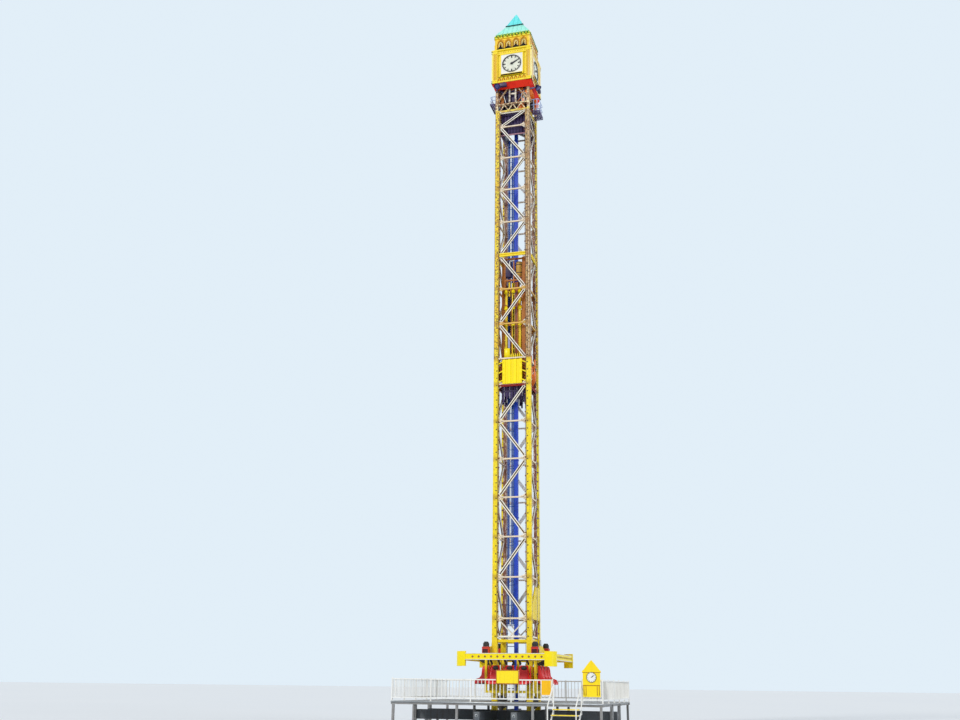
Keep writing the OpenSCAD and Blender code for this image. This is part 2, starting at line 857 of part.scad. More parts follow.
// Hour and minute hands that show ten past two on every dial
module clock_hands() {
    plate_t = 40;
    hand_t = 10;
    hour_z = 6;
    minute_z = 22;
    minute_angle = 62;
    hour_angle = 66;
    color(dark)
        on_sides()
            translate([0, -wall_half - plate_t, dial_z])
                rotate([90, 0, 0]) {
                    cylinder(r = 56, h = minute_z + 2 * hand_t, $fn = 48);
                    translate([0, 0, hour_z])
                        rotate([0, 0, -hour_angle])
                        linear_extrude(hand_t) hand(dial_r * 0.6, 84);
                    translate([0, 0, minute_z])
                        rotate([0, 0, -minute_angle])
                        linear_extrude(hand_t) hand(dial_r - 60, 60);
                }
}

// A tapered clock hand that points up, widest near the axis
module hand(reach, width) {
    tail = 80;
    polygon([[-width * 0.36, -tail], [width * 0.36, -tail], [width / 2, 60], [width * 0.15, reach],
             [-width * 0.15, reach], [-width / 2, 60]]);
}

// Hollow belfry with a row of pointed openings in each side
module belfry() {
    wall = 70;
    half = belfry_w / 2;
    corner = 130;
    pitch = (belfry_w - 2 * corner) / belfry_arches;
    arch_w = pitch * 0.66;
    arch_h = belfry_h * 0.52;
    color(gold)
        difference() {
            union() {
                post(belfry_w, belfry_w, belfry_z, roof_z);
                on_sides()
                    for (i = [0 : belfry_arches - 1])
                        translate([(i - (belfry_arches - 1) / 2) * pitch, -half + bite, belfry_z + 110])
                            rotate([90, 0, 0])
                            linear_extrude(24)
                            arch(arch_w + 70, arch_h + 60);
            }
            post(2 * (half - wall), 2 * (half - wall), belfry_z + wall, roof_z - wall);
            on_sides()
                for (i = [0 : belfry_arches - 1])
                    translate([(i - (belfry_arches - 1) / 2) * pitch, -half + wall + bite, belfry_z + 110])
                        rotate([90, 0, 0])
                        linear_extrude(wall + 60)
                        arch(arch_w, arch_h);
        }
}

// Cornice on top of the belfry: a slab with a row of small blocks that carry the eaves
module cornice() {
    blocks = 11;
    block_w = 80;
    block_out = 35;
    high = roof_z + 60;
    slab_w = eaves_w - 2 * block_out;
    pitch = (eaves_w - block_w - 40) / (blocks - 1);
    color(turquoise) {
        post(slab_w, slab_w, roof_z, high);
        on_sides()
            for (i = [0 : blocks - 1])
                translate([(i - (blocks - 1) / 2) * pitch, -(eaves_w - block_out) / 2, 0])
                    post(block_w, block_out + bite, roof_z, high);
    }
}

// Pyramid roof with a flared skirt, a moulding and a steep top
module roof() {
    base = eaves_w / 2;
    skirt = 0.435;
    low = roof_z + 60;
    break_z = low + (roof_h - 60) * skirt;
    break_half = base * 0.48;
    top = low + roof_h - 60;
    sheet_t = 70;
    color(turquoise)
        difference() {
            union() {
                square_cone(base, low, base * 0.97, low + 40);
                square_cone(base * 0.97, low + 40 - bite, break_half, break_z);
                square_cone(break_half + 40, break_z - bite, break_half + 24, break_z + 50);
                square_cone(break_half, break_z + 50 - bite, 18, top);
            }
            square_cone(base * 0.97 - sheet_t, low - bite, break_half - sheet_t, break_z);
            square_cone(break_half - sheet_t, break_z - bite, 5, top - 2.5 * sheet_t);
        }
}

// A frustum with square plan, flat on top and below
module square_cone(low_half, low, high_half, high) {
    polyhedron(
        points = [
            for (level = [[low_half, low], [high_half, high]])
                for (corner = [[-1, -1], [1, -1], [1, 1], [-1, 1]])
                    [corner.x * level.x, corner.y * level.x, level.y]
        ],
        faces = [[0, 1, 2, 3], [7, 6, 5, 4], [0, 4, 5, 1], [1, 5, 6, 2], [2, 6, 7, 3], [3, 7, 4, 0]]
    );
}

// One side of the frame that runs round the mast
module car_side(full) {
    half = full ? car_out : car_in;
    stay = 320;
    xs = full ? [-half + car_tube / 2, -stay, stay, half - car_tube / 2] : [-stay, stay];
    color(yellow)
        translate([0, -car_in - car_tube / 2, 0]) {
            for (z = [car_z, car_z + seat_rise, car_top - car_tube])
                span([-half, -car_tube / 2, z], [half, car_tube / 2, z + car_tube]);
            for (x = xs) translate([x, 0, 0]) post(car_tube, car_tube, car_z, car_top);
        }
}

// A fork on the car's frame, one cheek on each side of the hoist rope
module rope_fork() {
    cheek_t = 30;
    gap = rope_d / 2 + 9;
    reach = car_in - rope_outer_x + rope_d;
    color(yellow)
        for (side = [-1, 1], z = [car_z, car_top - car_tube])
            translate([side * (gap + cheek_t / 2), 0, 0])
                span([-cheek_t / 2, -car_in - bite, z], [cheek_t / 2, -car_in + reach, z + car_tube]);
}

// A gabled yoke on top of the car's frame, with the rope socket on its peak
module yoke() {
    plate_t = 60;
    end = car_in - 130;
    peak = 250;
    low_h = 120;
    high_h = 380;
    socket_d = 60;
    socket_h = 240;
    color(yellow)
        translate([0, -car_in - car_tube / 2, car_top]) {
            rotate([90, 0, 0])
                translate([0, 0, -plate_t / 2])
                linear_extrude(plate_t)
                polygon([[-end, -bite], [end, -bite], [end, low_h],
                         [peak, high_h], [-peak, high_h], [-end, low_h]]);
            translate([0, 0, high_h - bite]) cylinder(d = socket_d, h = socket_h, $fn = 32);
        }
}

module car_front() { car_side(true); }
module car_rear() { rotate([0, 0, 180]) car_side(true); }

module car_right() {
    rotate([0, 0, 90]) {
        car_side(false);
        rope_fork();
        yoke();
    }
}

module car_left() { rotate([0, 0, 180]) car_right(); }

// Rounded ring over the seats with taller caps at its corners, on arms from the car's frame
module canopy() {
    arm = 70;
    low = car_top - canopy_drop;
    arm_low = car_top - car_tube;
    cap_low = low + canopy_h + 80 - corner_cap_h;
    cap_w = 430;
    cap_out = 25;
    cap_c = canopy_half + cap_out - cap_w / 2;
    inner_y = -canopy_half + canopy_t - bite;
    color(yellow) {
        translate([0, 0, low]) linear_extrude(canopy_h) canopy_ring(0);
        translate([0, 0, cap_low])
            linear_extrude(corner_cap_h)
            intersection() {
                canopy_ring(cap_out);
                for (x = [-1, 1], y = [-1, 1])
                    translate([x * cap_c, y * cap_c]) square(cap_w, center = true);
            }
        on_sides()
            for (x = [-row_w / 2, row_w / 2])
                span([x - arm / 2, inner_y, arm_low], [x + arm / 2, -car_out, arm_low + arm]);
    }
}

// The plan of the ring, grown by a margin on both sides
module canopy_ring(margin) {
    difference() {
        rounded_square(canopy_half + margin, canopy_r + margin);
        rounded_square(canopy_half - canopy_t - margin, canopy_r - canopy_t - margin);
    }
}

// Red housings on the corners of the car's frame
module corner_housings() {
    housing_w = 280;
    housing_h = 300;
    c = mast_half + 50 + housing_w / 2;
    color(red)
        for (x = [-c, c], y = [-c, c])
            translate([x, y, 0]) post(housing_w, housing_w, car_top, car_top + housing_h);
}

// Black rubber buffers on the housings
module buffers() {
    buffer_d = 250;
    low = car_top + 300;
    c = mast_half + 190;
    color(dark)
        for (x = [-c, c], y = [-c, c])
            translate([x, y, low]) {
                cylinder(d = buffer_d, h = 150, $fn = 48);
                translate([0, 0, 150]) cylinder(d1 = buffer_d, d2 = buffer_d * 0.6, h = 70, $fn = 48);
            }
}

module rounded_square(half, radius) {
    square([2 * half, 2 * (half - radius)], center = true);
    square([2 * (half - radius), 2 * half], center = true);
    for (x = [-1, 1], y = [-1, 1])
        translate([x * (half - radius), y * (half - radius)]) circle(r = radius, $fn = 64);
}

// The profile of a seat: base with a raised front, and a leaning back
module seat_profile() {
    polygon([
        [0, -20], [seat_depth, -20], [seat_depth + 30, 30], [seat_depth + 10, seat_t + 10],
        [seat_depth - 60, seat_t], [170, seat_t - 30], [120, seat_t + 40],
        [seat_t, seat_back_h], [0, seat_back_h]
    ]);
}

// A row of moulded seats with side wings
module seat_row() {
    wing_t = 40;
    start = [-row_w / 2, -car_out, seat_z];
    color(red) {
        translate(start)
            rotate([90, 0, -90])
            mirror([0, 0, 1])
            linear_extrude(row_w)
            seat_profile();
        for (i = [0 : seats_a_side])
            translate([start.x + i * (row_w - wing_t) / seats_a_side, start.y, start.z])
                rotate([90, 0, -90])
                mirror([0, 0, 1])
                linear_extrude(wing_t)
                polygon([[0, 0], [seat_depth - 60, 0], [seat_depth - 60, 200],
                         [260, 260], [190, seat_back_h - 60], [0, seat_back_h]]);
    }
}

module seats_front() { seat_row(); }
module seats_right() { rotate([0, 0, 90]) seat_row(); }
module seats_rear() { rotate([0, 0, 180]) seat_row(); }
module seats_left() { rotate([0, 0, -90]) seat_row(); }

// Shoulder restraints, raised for boarding
module restraints() {
    tube = 60;
    width = 330;
    reach = 430;
    hinge_h = 60;
    hinge_z = seat_top;
    color(dark)
        on_sides()
            for (i = [0 : seats_a_side - 1])
                translate([(i - (seats_a_side - 1) / 2) * seat_w, -car_out - tube / 2, hinge_z]) {
                    for (x = [-1, 1])
                        translate([x * width / 2, 0, 0]) {
                            post(tube, tube, 0, hinge_h + tube / 2);
                            translate([0, 0, hinge_h])
                                rotate([62, 0, 0])
                                cylinder(d = tube, h = reach, $fn = 24);
                        }
                    translate([0, 0, hinge_h]) rotate([62, 0, 0])
                        translate([0, 0, reach - tube / 2]) rotate([0, 90, 0])
                        cylinder(d = tube, h = width + tube, center = true, $fn = 24);
                }
}

// Rollers in brackets that guide the car on all faces of the columns
module guide_rollers() {
    roller_d = 110;
    roller_w = 90;
    cheek_t = 16;
    cheek_h = 70;
    axle_y = -mast_half - roller_gap - roller_d / 2;
    color(grey)
        on_sides()
            for (x = [-1, 1], z = [car_z + seat_rise, car_top - car_tube])
                translate([x * (column_c - 55), axle_y, z + car_tube / 2]) {
                    rotate([0, 90, 0]) cylinder(d = roller_d, h = roller_w, center = true, $fn = 32);
                    for (side = [-1, 1])
                        translate([side * (roller_w / 2 + cheek_t / 2 - bite), 0, 0])
                            span([-cheek_t / 2, -car_in - axle_y, -cheek_h / 2],
                                 [cheek_t / 2, roller_d / 3, cheek_h / 2]);
                }
}

// Crossing base beams on a foot plate
module base_frame() {
    color(grey) {
        for (y = [-column_c, column_c])
            translate([0, y, 0]) post(2 * beam_reach_x, base_beam_w, base_clear, base_top);
        for (x = [-column_c, column_c])
            translate([x, 0, 0]) post(base_beam_w, 2 * beam_reach_y, base_clear, base_top);
        post(2 * column_c, base_beam_w, base_clear, base_top);
        post(2 * column_c, 2 * ladder_y + 100, base_top - 30, base_top);
        post(foot_w, foot_w, 0, 40);
        post(foot_w - 200, foot_w - 200, 40 - bite, base_clear + bite);
        for (turn = [0, 90])
            rotate([0, 0, turn]) post(2 * column_c, 180, 120, base_clear + bite);
    }
}

// Screw jacks with round pads under the ends of the base beams
module jacks() {
    from_end = 400;
    ends = [for (i = [0 : 3]) (i % 2 == 0 ? beam_reach_y : beam_reach_x) - from_end];
    color(grey)
        for (i = [0 : 3], x = [-column_c, column_c])
            rotate([0, 0, 90 * i])
                translate([x, -ends[i], 0]) {
                    cylinder(d = pad_d, h = 40, $fn = 48);
                    translate([0, 0, 40 - bite]) cylinder(d1 = 240, d2 = 130, h = 70, $fn = 48);
                    translate([0, 0, 100]) cylinder(d = 110, h = base_clear - 100, $fn = 32);
                }
}

// A rectangle of platform: floor, edge beams and joists over pairs of legs
module deck_panel(low, high, joists, legs) {
    floor_t = 30;
    beam = 80;
    leg = deck_leg;
    color(grey) {
        span([low.x, low.y, deck_z - floor_t], [high.x, high.y, deck_z]);
        for (y = [low.y, high.y - beam])
            span([low.x, y, deck_z - deck_t], [high.x, y + beam, deck_z - floor_t + bite]);
        for (x = joists)
            span([x - beam / 2, low.y, deck_z - deck_t], [x + beam / 2, high.y, deck_z - floor_t + bite]);
        for (at = legs)
            translate([at.x, at.y, 0]) {
                post(leg, leg, 0, deck_z - deck_t + bite);
                post(leg + 60, leg + 60, 0, 20);
            }
    }
}

// The platform in front of the mast, over its whole width
module deck_front() {
    end = deck_w / 2 - 2 * deck_edge;
    joists = [-end, -1500, 1500, end];
    rows = [-deck_d / 2 + deck_edge, -deck_hole / 2 - deck_edge];
    deck_panel([-deck_w / 2, -deck_d / 2], [deck_w / 2, -deck_hole / 2], joists,
               [for (x = joists, y = rows) [x, y]]);
}

// The platform beside the mast, between the front and the rear
module deck_right() {
    leg_x = deck_w / 2 - 2 * deck_edge;
    leg_y = deck_hole / 2 - 4 * deck_edge;
    deck_panel([deck_hole / 2, -deck_hole / 2], [deck_w / 2, deck_hole / 2],
               [deck_hole / 2 + deck_edge, leg_x], [[leg_x, -leg_y], [leg_x, leg_y]]);
}

module deck_rear() { rotate([0, 0, 180]) deck_front(); }
module deck_left() { rotate([0, 0, 180]) deck_right(); }

// Steps in front of the entry, with a handrail on each side
module steps() {
    rise = deck_z / step_count;
    flight = (step_count - 1) * step_run;
    tread_t = 40;
    rail_h = 900;
    bar = 40;
    foot = 260;
    last = deck_z - rise;
    rail_top = deck_z + rail_h - rise;
    color(white)
        translate([entry_x, -deck_d / 2, 0]) {
            for (side = [-1, 1])
                translate([side * (entry_w - bar) / 2, 0, 0]) {
                    translate([-bar / 2, 0, 0])
                        rotate([90, 0, 90])
                        linear_extrude(bar) {
                            polygon([[0, last - tread_t], [0, last], [-flight, bite],
                                     [-flight, 0], [-flight + foot, 0]]);
                            polygon([[-flight, rail_h - bar], [-flight, rail_h],
                                     [0, rail_top], [0, rail_top - bar]]);
                        }
                    translate([0, -flight + bar / 2, 0]) post(bar, bar, 0, rail_h);
                    translate([0, -bar / 2, 0]) post(bar, bar, last - rise, rail_top);
                }
            for (i = [1 : step_count - 1]) {
                from = -flight + (i - 1) * step_run;
                span([-(entry_w - bar) / 2, from, i * rise - tread_t],
                     [(entry_w - bar) / 2, min(from + step_run + 20, 0), i * rise]);
            }
        }
}

// A railing from one x to another, with its outer face at y = 0
module railing(from_x, to_x) {
    tube = fence_tube;
    bar = 22;
    foot_gap = 110;
    length = to_x - from_x;
    posts = max(1, round(length / 1500));
    bars = floor((length - tube) / fence_pitch);
    color(white)
        translate([0, tube / 2, deck_z]) {
            for (i = [0 : posts])
                translate([from_x + tube / 2 + i * (length - tube) / posts, 0, 0])
                    post(tube, tube, 0, fence_h);
            for (z = [foot_gap, fence_h - tube])
                span([from_x, -tube / 2, z], [to_x, tube / 2, z + tube]);
            for (i = [1 : bars])
                translate([from_x + tube / 2 + i * (length - tube) / (bars + 1), 0, 0])
                    post(bar, bar, foot_gap, fence_h - tube + bite);
        }
}

module fence_front_left() { translate([0, -deck_d / 2, 0]) railing(-deck_w / 2, entry_x - entry_w / 2); }
module fence_front_right() { translate([0, -deck_d / 2, 0]) railing(entry_x + entry_w / 2, deck_w / 2); }
module fence_rear() { rotate([0, 0, 180]) translate([0, -deck_d / 2, 0]) railing(-deck_w / 2, deck_w / 2); }
module fence_right() {
    end = deck_d / 2 - fence_tube;
    rotate([0, 0, 90]) translate([0, -deck_w / 2, 0]) railing(-end, end);
}
module fence_left() { rotate([0, 0, 180]) fence_right(); }

// Sign shaped like a small clock tower, on the railing to the right of the entry
module clock_sign() {
    sign_w = 660;
    wall_h = 980;
    peak_h = 1330;
    eaves_h = 60;
    eaves_out = 25;
    eaves_z = wall_h - 110;
    sign_t = 30;
    color(yellow)
        translate([deck_w / 2 - sign_w / 2 - 90, -deck_d / 2 - sign_t, deck_z + 240]) {
            rotate([90, 0, 0])
                mirror([0, 0, 1])
                linear_extrude(sign_t)
                polygon([[-sign_w / 2, 0], [sign_w / 2, 0], [sign_w / 2, eaves_z],
                         [sign_w / 2 + eaves_out, eaves_z], [sign_w / 2 + eaves_out, eaves_z + eaves_h],
                         [sign_w / 2 - 30, wall_h], [sign_w * 0.12, peak_h - 80], [0, peak_h],
                         [-sign_w * 0.12, peak_h - 80], [-sign_w / 2 + 30, wall_h],
                         [-sign_w / 2 - eaves_out, eaves_z + eaves_h], [-sign_w / 2 - eaves_out, eaves_z],
                         [-sign_w / 2, eaves_z]]);
            translate([0, bite, wall_h * 0.72])
                rotate([90, 0, 0]) cylinder(r = sign_w * 0.27, h = 16, $fn = 64);
        }
}

// Bare orange board, on the railing to the left of the entry
module rule_board() {
    board_w = 430;
    board_h = 590;
    right = entry_x - entry_w / 2 - 40;
    color("#f5a312")
        span([right - board_w, -deck_d / 2 - 25, deck_z + fence_h - board_h],
             [right, -deck_d / 2, deck_z + fence_h]);
}

// Bare yellow board over the middle of the front railing
module notice_board() {
    left = 70;
    board_w = 910;
    low = deck_z + fence_h - 180;
    board_h = 520;
    color(yellow)
        span([left, -deck_d / 2 - 25, low], [left + board_w, -deck_d / 2, low + board_h]);
}

base_frame();
jacks();
deck_front();
deck_rear();
deck_left();
deck_right();
steps();
fence_front_left();
fence_front_right();
fence_left();
fence_right();
fence_rear();
clock_sign();
rule_board();
notice_board();
mast_foot();
lower_front();
lower_rear();
lower_left();
lower_right();
upper_front();
upper_rear();
upper_left();
upper_right();
erection_plate();
joint_panels();
joint_platform();
heavy_beam();
inner_frame();
blue_pole();
ladder();
hoist_ropes();
foot_sheaves();
head_sheaves();
top_platform();
head_frame();
head_drive();
service_balconies();
floodlights();
soffit();
house_walls();
pilasters();
dials();
clock_hands();
belfry();
cornice();
roof();
car_front();
car_rear();
car_left();
car_right();
canopy();
corner_housings();
buffers();
seats_front();
seats_rear();
seats_left();
seats_right();
restraints();
guide_rollers();
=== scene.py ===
from functools import partialmethod
from math import pi

import bpy
import numpy as np
from bpy.props import FloatProperty, FloatVectorProperty, IntProperty, PointerProperty
from mathutils import Matrix, Vector


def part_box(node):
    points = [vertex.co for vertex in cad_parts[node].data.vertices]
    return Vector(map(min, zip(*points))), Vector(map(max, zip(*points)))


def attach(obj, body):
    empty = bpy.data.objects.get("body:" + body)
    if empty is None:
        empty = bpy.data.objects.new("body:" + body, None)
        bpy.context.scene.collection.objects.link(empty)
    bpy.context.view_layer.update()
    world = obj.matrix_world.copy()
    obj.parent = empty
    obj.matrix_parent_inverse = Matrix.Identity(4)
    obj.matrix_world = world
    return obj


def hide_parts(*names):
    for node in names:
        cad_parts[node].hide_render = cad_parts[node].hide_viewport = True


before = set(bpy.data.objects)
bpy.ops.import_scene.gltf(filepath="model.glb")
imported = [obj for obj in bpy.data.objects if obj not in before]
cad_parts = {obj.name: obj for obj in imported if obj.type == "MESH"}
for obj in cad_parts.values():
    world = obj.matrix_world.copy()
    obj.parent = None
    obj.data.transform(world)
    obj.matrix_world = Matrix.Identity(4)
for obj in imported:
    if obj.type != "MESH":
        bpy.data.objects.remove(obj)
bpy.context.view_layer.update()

bl_info = {"name": "Drop tower ride dressing", "version": (1, 0, 0), "blender": (4, 5, 0),
           "location": "3D View > Sidebar > Drop Tower",
           "description": "Adds paint, lamps, fittings and seats to the packed drop tower",
           "category": "Object"}

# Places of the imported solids, in metres
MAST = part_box("lower_front")[1].x
COLUMN_WIDTH = 0.22
COLUMN_IN = MAST - COLUMN_WIDTH
COLUMN_MID = MAST - COLUMN_WIDTH / 2
BAR_FACE = COLUMN_MID + 0.032
JOINT_LOW = 14.5
JOINT_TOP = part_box("upper_front")[0].z
MAST_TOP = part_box("upper_front")[1].z
FOOT_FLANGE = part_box("lower_front")[0].z
BAY = 1.7
LOWER_LEVELS = JOINT_LOW - BAY * np.arange(6, -1, -1)
UPPER_LEVELS = JOINT_TOP + BAY * np.arange(8)
INNER_TOP = JOINT_TOP + 3 * BAY
COVER_HALF = 0.45
COVER_FACE = BAR_FACE + 0.030 + 0.033
COVER_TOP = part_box("joint_panels")[1].z
HOUSE_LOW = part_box("house_walls")[0].z
HOUSE_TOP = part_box("house_walls")[1].z
HOUSE_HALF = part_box("pilasters")[1].x
WALL_HALF = HOUSE_HALF - 0.07
ARCADE_MID = HOUSE_LOW + 0.128
DIAL_LOW, DIAL_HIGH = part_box("dials")
DIAL_Z = (DIAL_LOW.z + DIAL_HIGH.z) / 2
BELFRY_LOW, BELFRY_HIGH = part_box("belfry")
EAVES_LOW, EAVES_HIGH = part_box("roof")
ROOF_BREAK = EAVES_LOW.z + 0.435 * (EAVES_HIGH.z - EAVES_LOW.z)
DECK_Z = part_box("deck_front")[1].z
DECK_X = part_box("deck_front")[1].x
DECK_Y = -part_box("deck_front")[0].y
CAR_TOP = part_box("car_front")[1].z
CAR_OUT = -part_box("car_front")[0].y
CANOPY_LOW, CANOPY_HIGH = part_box("canopy")


class TowerSizes(bpy.types.PropertyGroup):
    """Sizes of the pieces that dress the tower."""
    lamp_pitch: FloatProperty(
        name="Lamp pitch", description="Distance between the lamps along a column", default=0.425, min=0.2,
        max=1.0, unit="LENGTH")
    lamp_radius: FloatProperty(
        name="Lamp radius", description="Radius of a lamp's base ring", default=0.034, min=0.02, max=0.05,
        unit="LENGTH")
    bolt_radius: FloatProperty(
        name="Bolt radius", description="Half the width over the corners of a bolt head", default=0.021,
        min=0.01, max=0.04, unit="LENGTH")
    gusset_width: FloatProperty(
        name="Gusset width", description="How far a gusset plate reaches in from its column", default=0.24,
        min=0.15, max=0.35, unit="LENGTH")
    gusset_height: FloatProperty(
        name="Gusset height", description="Height of a gusset plate", default=0.40, min=0.25, max=0.6,
        unit="LENGTH")
    dial_radius: FloatProperty(
        name="Dial radius", description="Radius of the dial's ring", default=0.485, min=0.3, max=0.52,
        unit="LENGTH")
    seam_pitch: FloatProperty(
        name="Seam pitch", description="Distance between the standing seams of the roof", default=0.23,
        min=0.15, max=0.5, unit="LENGTH")
    pad_thickness: FloatProperty(
        name="Pad thickness", description="Thickness of the seat pads", default=0.055, min=0.03, max=0.08,
        unit="LENGTH")
    seats_a_side: IntProperty(
        name="Seats a side", description="Seats on each side of the car", default=3, min=1, max=4)


def paint_property(name, description, colour):
    """A colour of the panel, with its name and what it paints."""
    return FloatVectorProperty(
        name=name, description=description, default=colour, size=3, min=0.0, max=1.0, subtype="COLOR")


class TowerColours(bpy.types.PropertyGroup):
    """Colours of the paints, as scene-linear values."""
    column_low: paint_property("Lower columns", "Signal yellow of the lower columns", (0.93, 0.70, 0.004))
    column_high: paint_property("Upper columns", "Warmer yellow of the upper columns", (0.90, 0.58, 0.012))
    bar: paint_property("Bars", "Cream of the diagonals and level bars", (0.95, 0.92, 0.83))
    panel: paint_property("Joint covers", "Bright yellow of the joint covers", (0.98, 0.78, 0.0))
    ochre: paint_property("Inner frame", "Ochre of the inner frame", (0.46, 0.14, 0.012))
    pole: paint_property("Pole", "Blue of the pole and the ladder", (0.006, 0.045, 0.56))
    deep_red: paint_property("Dark red", "Red of the underside and the joint floor", (0.72, 0.012, 0.006))
    house: paint_property("House", "Gold of the clock house", (0.96, 0.73, 0.006))
    roof_low: paint_property("Roof skirt", "Pale aqua of the roof's skirt", (0.36, 0.86, 0.74))
    roof_high: paint_property("Roof top", "Stronger aqua of the roof's top", (0.12, 0.78, 0.80))
    seat: paint_property("Seats", "Red of the seat shells", (0.80, 0.010, 0.014))
    machine: paint_property("Machine", "Orange of the gear case and the motor", (0.80, 0.17, 0.015))


# Shapes: each is a pair of an array of points and a list of face arrays

def merge(shapes):
    """Puts shapes into one: the face numbers of each go up by the number of points before it."""
    points, faces, start = [], [], 0
    for shape_points, shape_faces in shapes:
        points.append(shape_points)
        faces.extend(face + start for face in shape_faces)
        start += len(shape_points)
    return np.concatenate(points), faces


BOX_CORNERS = np.array([[0, 0, 0], [1, 0, 0], [1, 1, 0], [0, 1, 0], [0, 0, 1], [1, 0, 1], [1, 1, 1],
                        [0, 1, 1]], float)
BOX_FACES = np.array([[0, 3, 2, 1], [4, 5, 6, 7], [0, 1, 5, 4], [1, 2, 6, 5], [2, 3, 7, 6], [3, 0, 4, 7]])


def blocks(low, high):
    """Boxes from arrays of lowest and highest corners: corner = low + unit corner times (high - low)."""
    low, high = np.atleast_2d(np.array(low, float)), np.atleast_2d(np.array(high, float))
    points = low[:, None] + BOX_CORNERS[None] * (high - low)[:, None]
    faces = BOX_FACES[None] + 8 * np.arange(len(low))[:, None, None]
    return points.reshape(-1, 3), [faces.reshape(-1, 4)]


def lathe(profile, sides, centre=(0, 0, 0), axis="z"):
    """A turned form: each (radius, height) of the profile goes round as
    (radius cos a, radius sin a, height) for a = 2 pi i / sides, and both ends are closed by flat faces."""
    profile = np.array(profile, float)
    angle = 2 * pi * np.arange(sides) / sides
    circle = np.stack([np.cos(angle), np.sin(angle), np.zeros(sides)], 1)
    points = profile[:, None, :1] * circle[None] + np.array([0, 0, 1.0]) * profile[:, None, 1:]
    points = points.reshape(-1, 3)
    row = np.arange(len(profile) - 1)[:, None] * sides
    i = np.arange(sides)[None]
    j = (i + 1) % sides
    walls = np.stack([row + i, row + j, row + sides + j, row + sides + i], -1).reshape(-1, 4)
    ends = [np.arange(sides)[::-1][None], np.arange(sides)[None] + sides * (len(profile) - 1)]
    turn = {"z": np.eye(3), "x": np.array([[0, 0, 1], [1, 0, 0], [0, 1, 0.0]]),
            "y": np.array([[0, 1, 0], [0, 0, 1], [1, 0, 0.0]])}[axis]
    return points @ turn.T + np.array(centre, float), [walls] + ends


def extrude(outline, low, high, axis="y"):
    """A flat outline pushed from low to high along an axis. The outline runs anticlockwise as seen against
    the axis, and its two numbers are (x, z) for y, (y, z) for x and (x, y) for z."""
    outline = np.array(outline, float)
    n = len(outline)
    order = {"y": (0, 2, 1), "x": (1, 2, 0), "z": (0, 1, 2)}[axis]
    points = np.zeros((2 * n, 3))
    for end, value in enumerate((low, high)):
        part = points[end * n:(end + 1) * n]
        part[:, order[0]], part[:, order[1]], part[:, order[2]] = outline[:, 0], outline[:, 1], value
    i = np.arange(n)
    j = (i + 1) % n
    walls = np.stack([i, j, j + n, i + n], 1)
    faces = [walls, i[::-1][None], (i + n)[None]]
    if axis == "y":
        faces = [face[:, ::-1] for face in faces]
    return points, faces


def sweep(path, radius, sides=8, up=(0, 0, 1), closed=False, squash=1.0, phase=0.0):
    """A tube along a path: point = path + radius (cos a side + squash sin a over), where side is the
    tangent's cross product with the up vector, and over is the tangent's with side."""
    path = np.array(path, float)
    if closed:
        tangent = np.roll(path, -1, 0) - np.roll(path, 1, 0)
    else:
        tangent = np.gradient(path, axis=0)
    tangent /= np.linalg.norm(tangent, axis=1)[:, None]
    side = np.cross(tangent, np.array(up, float))
    side /= np.linalg.norm(side, axis=1)[:, None]
    over = np.cross(tangent, side)
    angle = phase + 2 * pi * np.arange(sides) / sides
    radius = np.broadcast_to(radius, len(path))[:, None, None]
    points = path[:, None] + radius * (
        np.cos(angle)[None, :, None] * side[:, None] + squash * np.sin(angle)[None, :, None] * over[:, None])
    n = len(path)
    row = np.arange(n if closed else n - 1)[:, None]
    i, j = np.arange(sides)[None], (np.arange(sides)[None] + 1) % sides
    after = (row + 1) % n
    walls = np.stack([row * sides + i, row * sides + j, after * sides + j, after * sides + i], -1).reshape(
        -1, 4)
    ends = [] if closed else [np.arange(sides)[::-1][None], np.arange(sides)[None] + sides * (n - 1)]
    return points.reshape(-1, 3), [walls] + ends


def sheet_solid(top, bottom):
    """A closed solid between two grids of points of the same size: both grids are skinned, and their
    rims are joined by a strip."""
    index = np.arange(top.shape[0] * top.shape[1]).reshape(top.shape[:2])
    quads = np.stack([index[:-1, :-1], index[:-1, 1:], index[1:, 1:], index[1:, :-1]], -1).reshape(-1, 4)
    rim = np.concatenate([index[0, :-1], index[:-1, -1], index[-1, :0:-1], index[:0:-1, 0]])
    after = np.roll(rim, -1)
    n = index.size
    strip = np.stack([rim, rim + n, after + n, after], 1)
    return np.concatenate([top.reshape(-1, 3), bottom.reshape(-1, 3)]), [quads, quads[:, ::-1] + n, strip]


def placed(shape, offsets, turns=None):
    """Copies of a shape: each is turned by its own 3 by 3 matrix, then moved by its offset."""
    points, faces = shape
    offsets = np.atleast_2d(np.array(offsets, float))
    turns = np.broadcast_to(np.eye(3), (len(offsets), 3, 3)) if turns is None else np.array(turns, float)
    all_points = np.einsum("nij,pj->npi", turns, points) + offsets[:, None]
    raise_by = len(points) * np.arange(len(offsets))[:, None, None]
    return all_points.reshape(-1, 3), [(face[None] + raise_by).reshape(-1, face.shape[1]) for face in faces]


def turn_by(angle):
    """The matrix of a turn about the third axis, for an angle in radians."""
    return np.array([[np.cos(angle), -np.sin(angle), 0], [np.sin(angle), np.cos(angle), 0], [0, 0, 1.0]])


def turn_z(degrees):
    """The matrix of a turn about the upright axis."""
    return turn_by(np.radians(degrees))


ALL_SIDES = (0, 90, 180, 270)


def on_sides(shape, sides=ALL_SIDES):
    """Repeats a shape of the front side on the sides named by their turn about the mast's axis."""
    return placed(shape, np.zeros((len(sides), 3)), [turn_z(side) for side in sides])


def mirrored(shape, axis=0):
    """A shape and its mirror image over the middle plane across an axis, its faces turned round."""
    points, faces = shape
    sign = np.ones(3)
    sign[axis] = -1
    return merge([shape, (points * sign, [face[:, ::-1] for face in faces])])


def rows(*columns):
    """Points from columns of numbers, where a single number fills its whole column."""
    return np.stack(np.broadcast_arrays(*columns), 1)


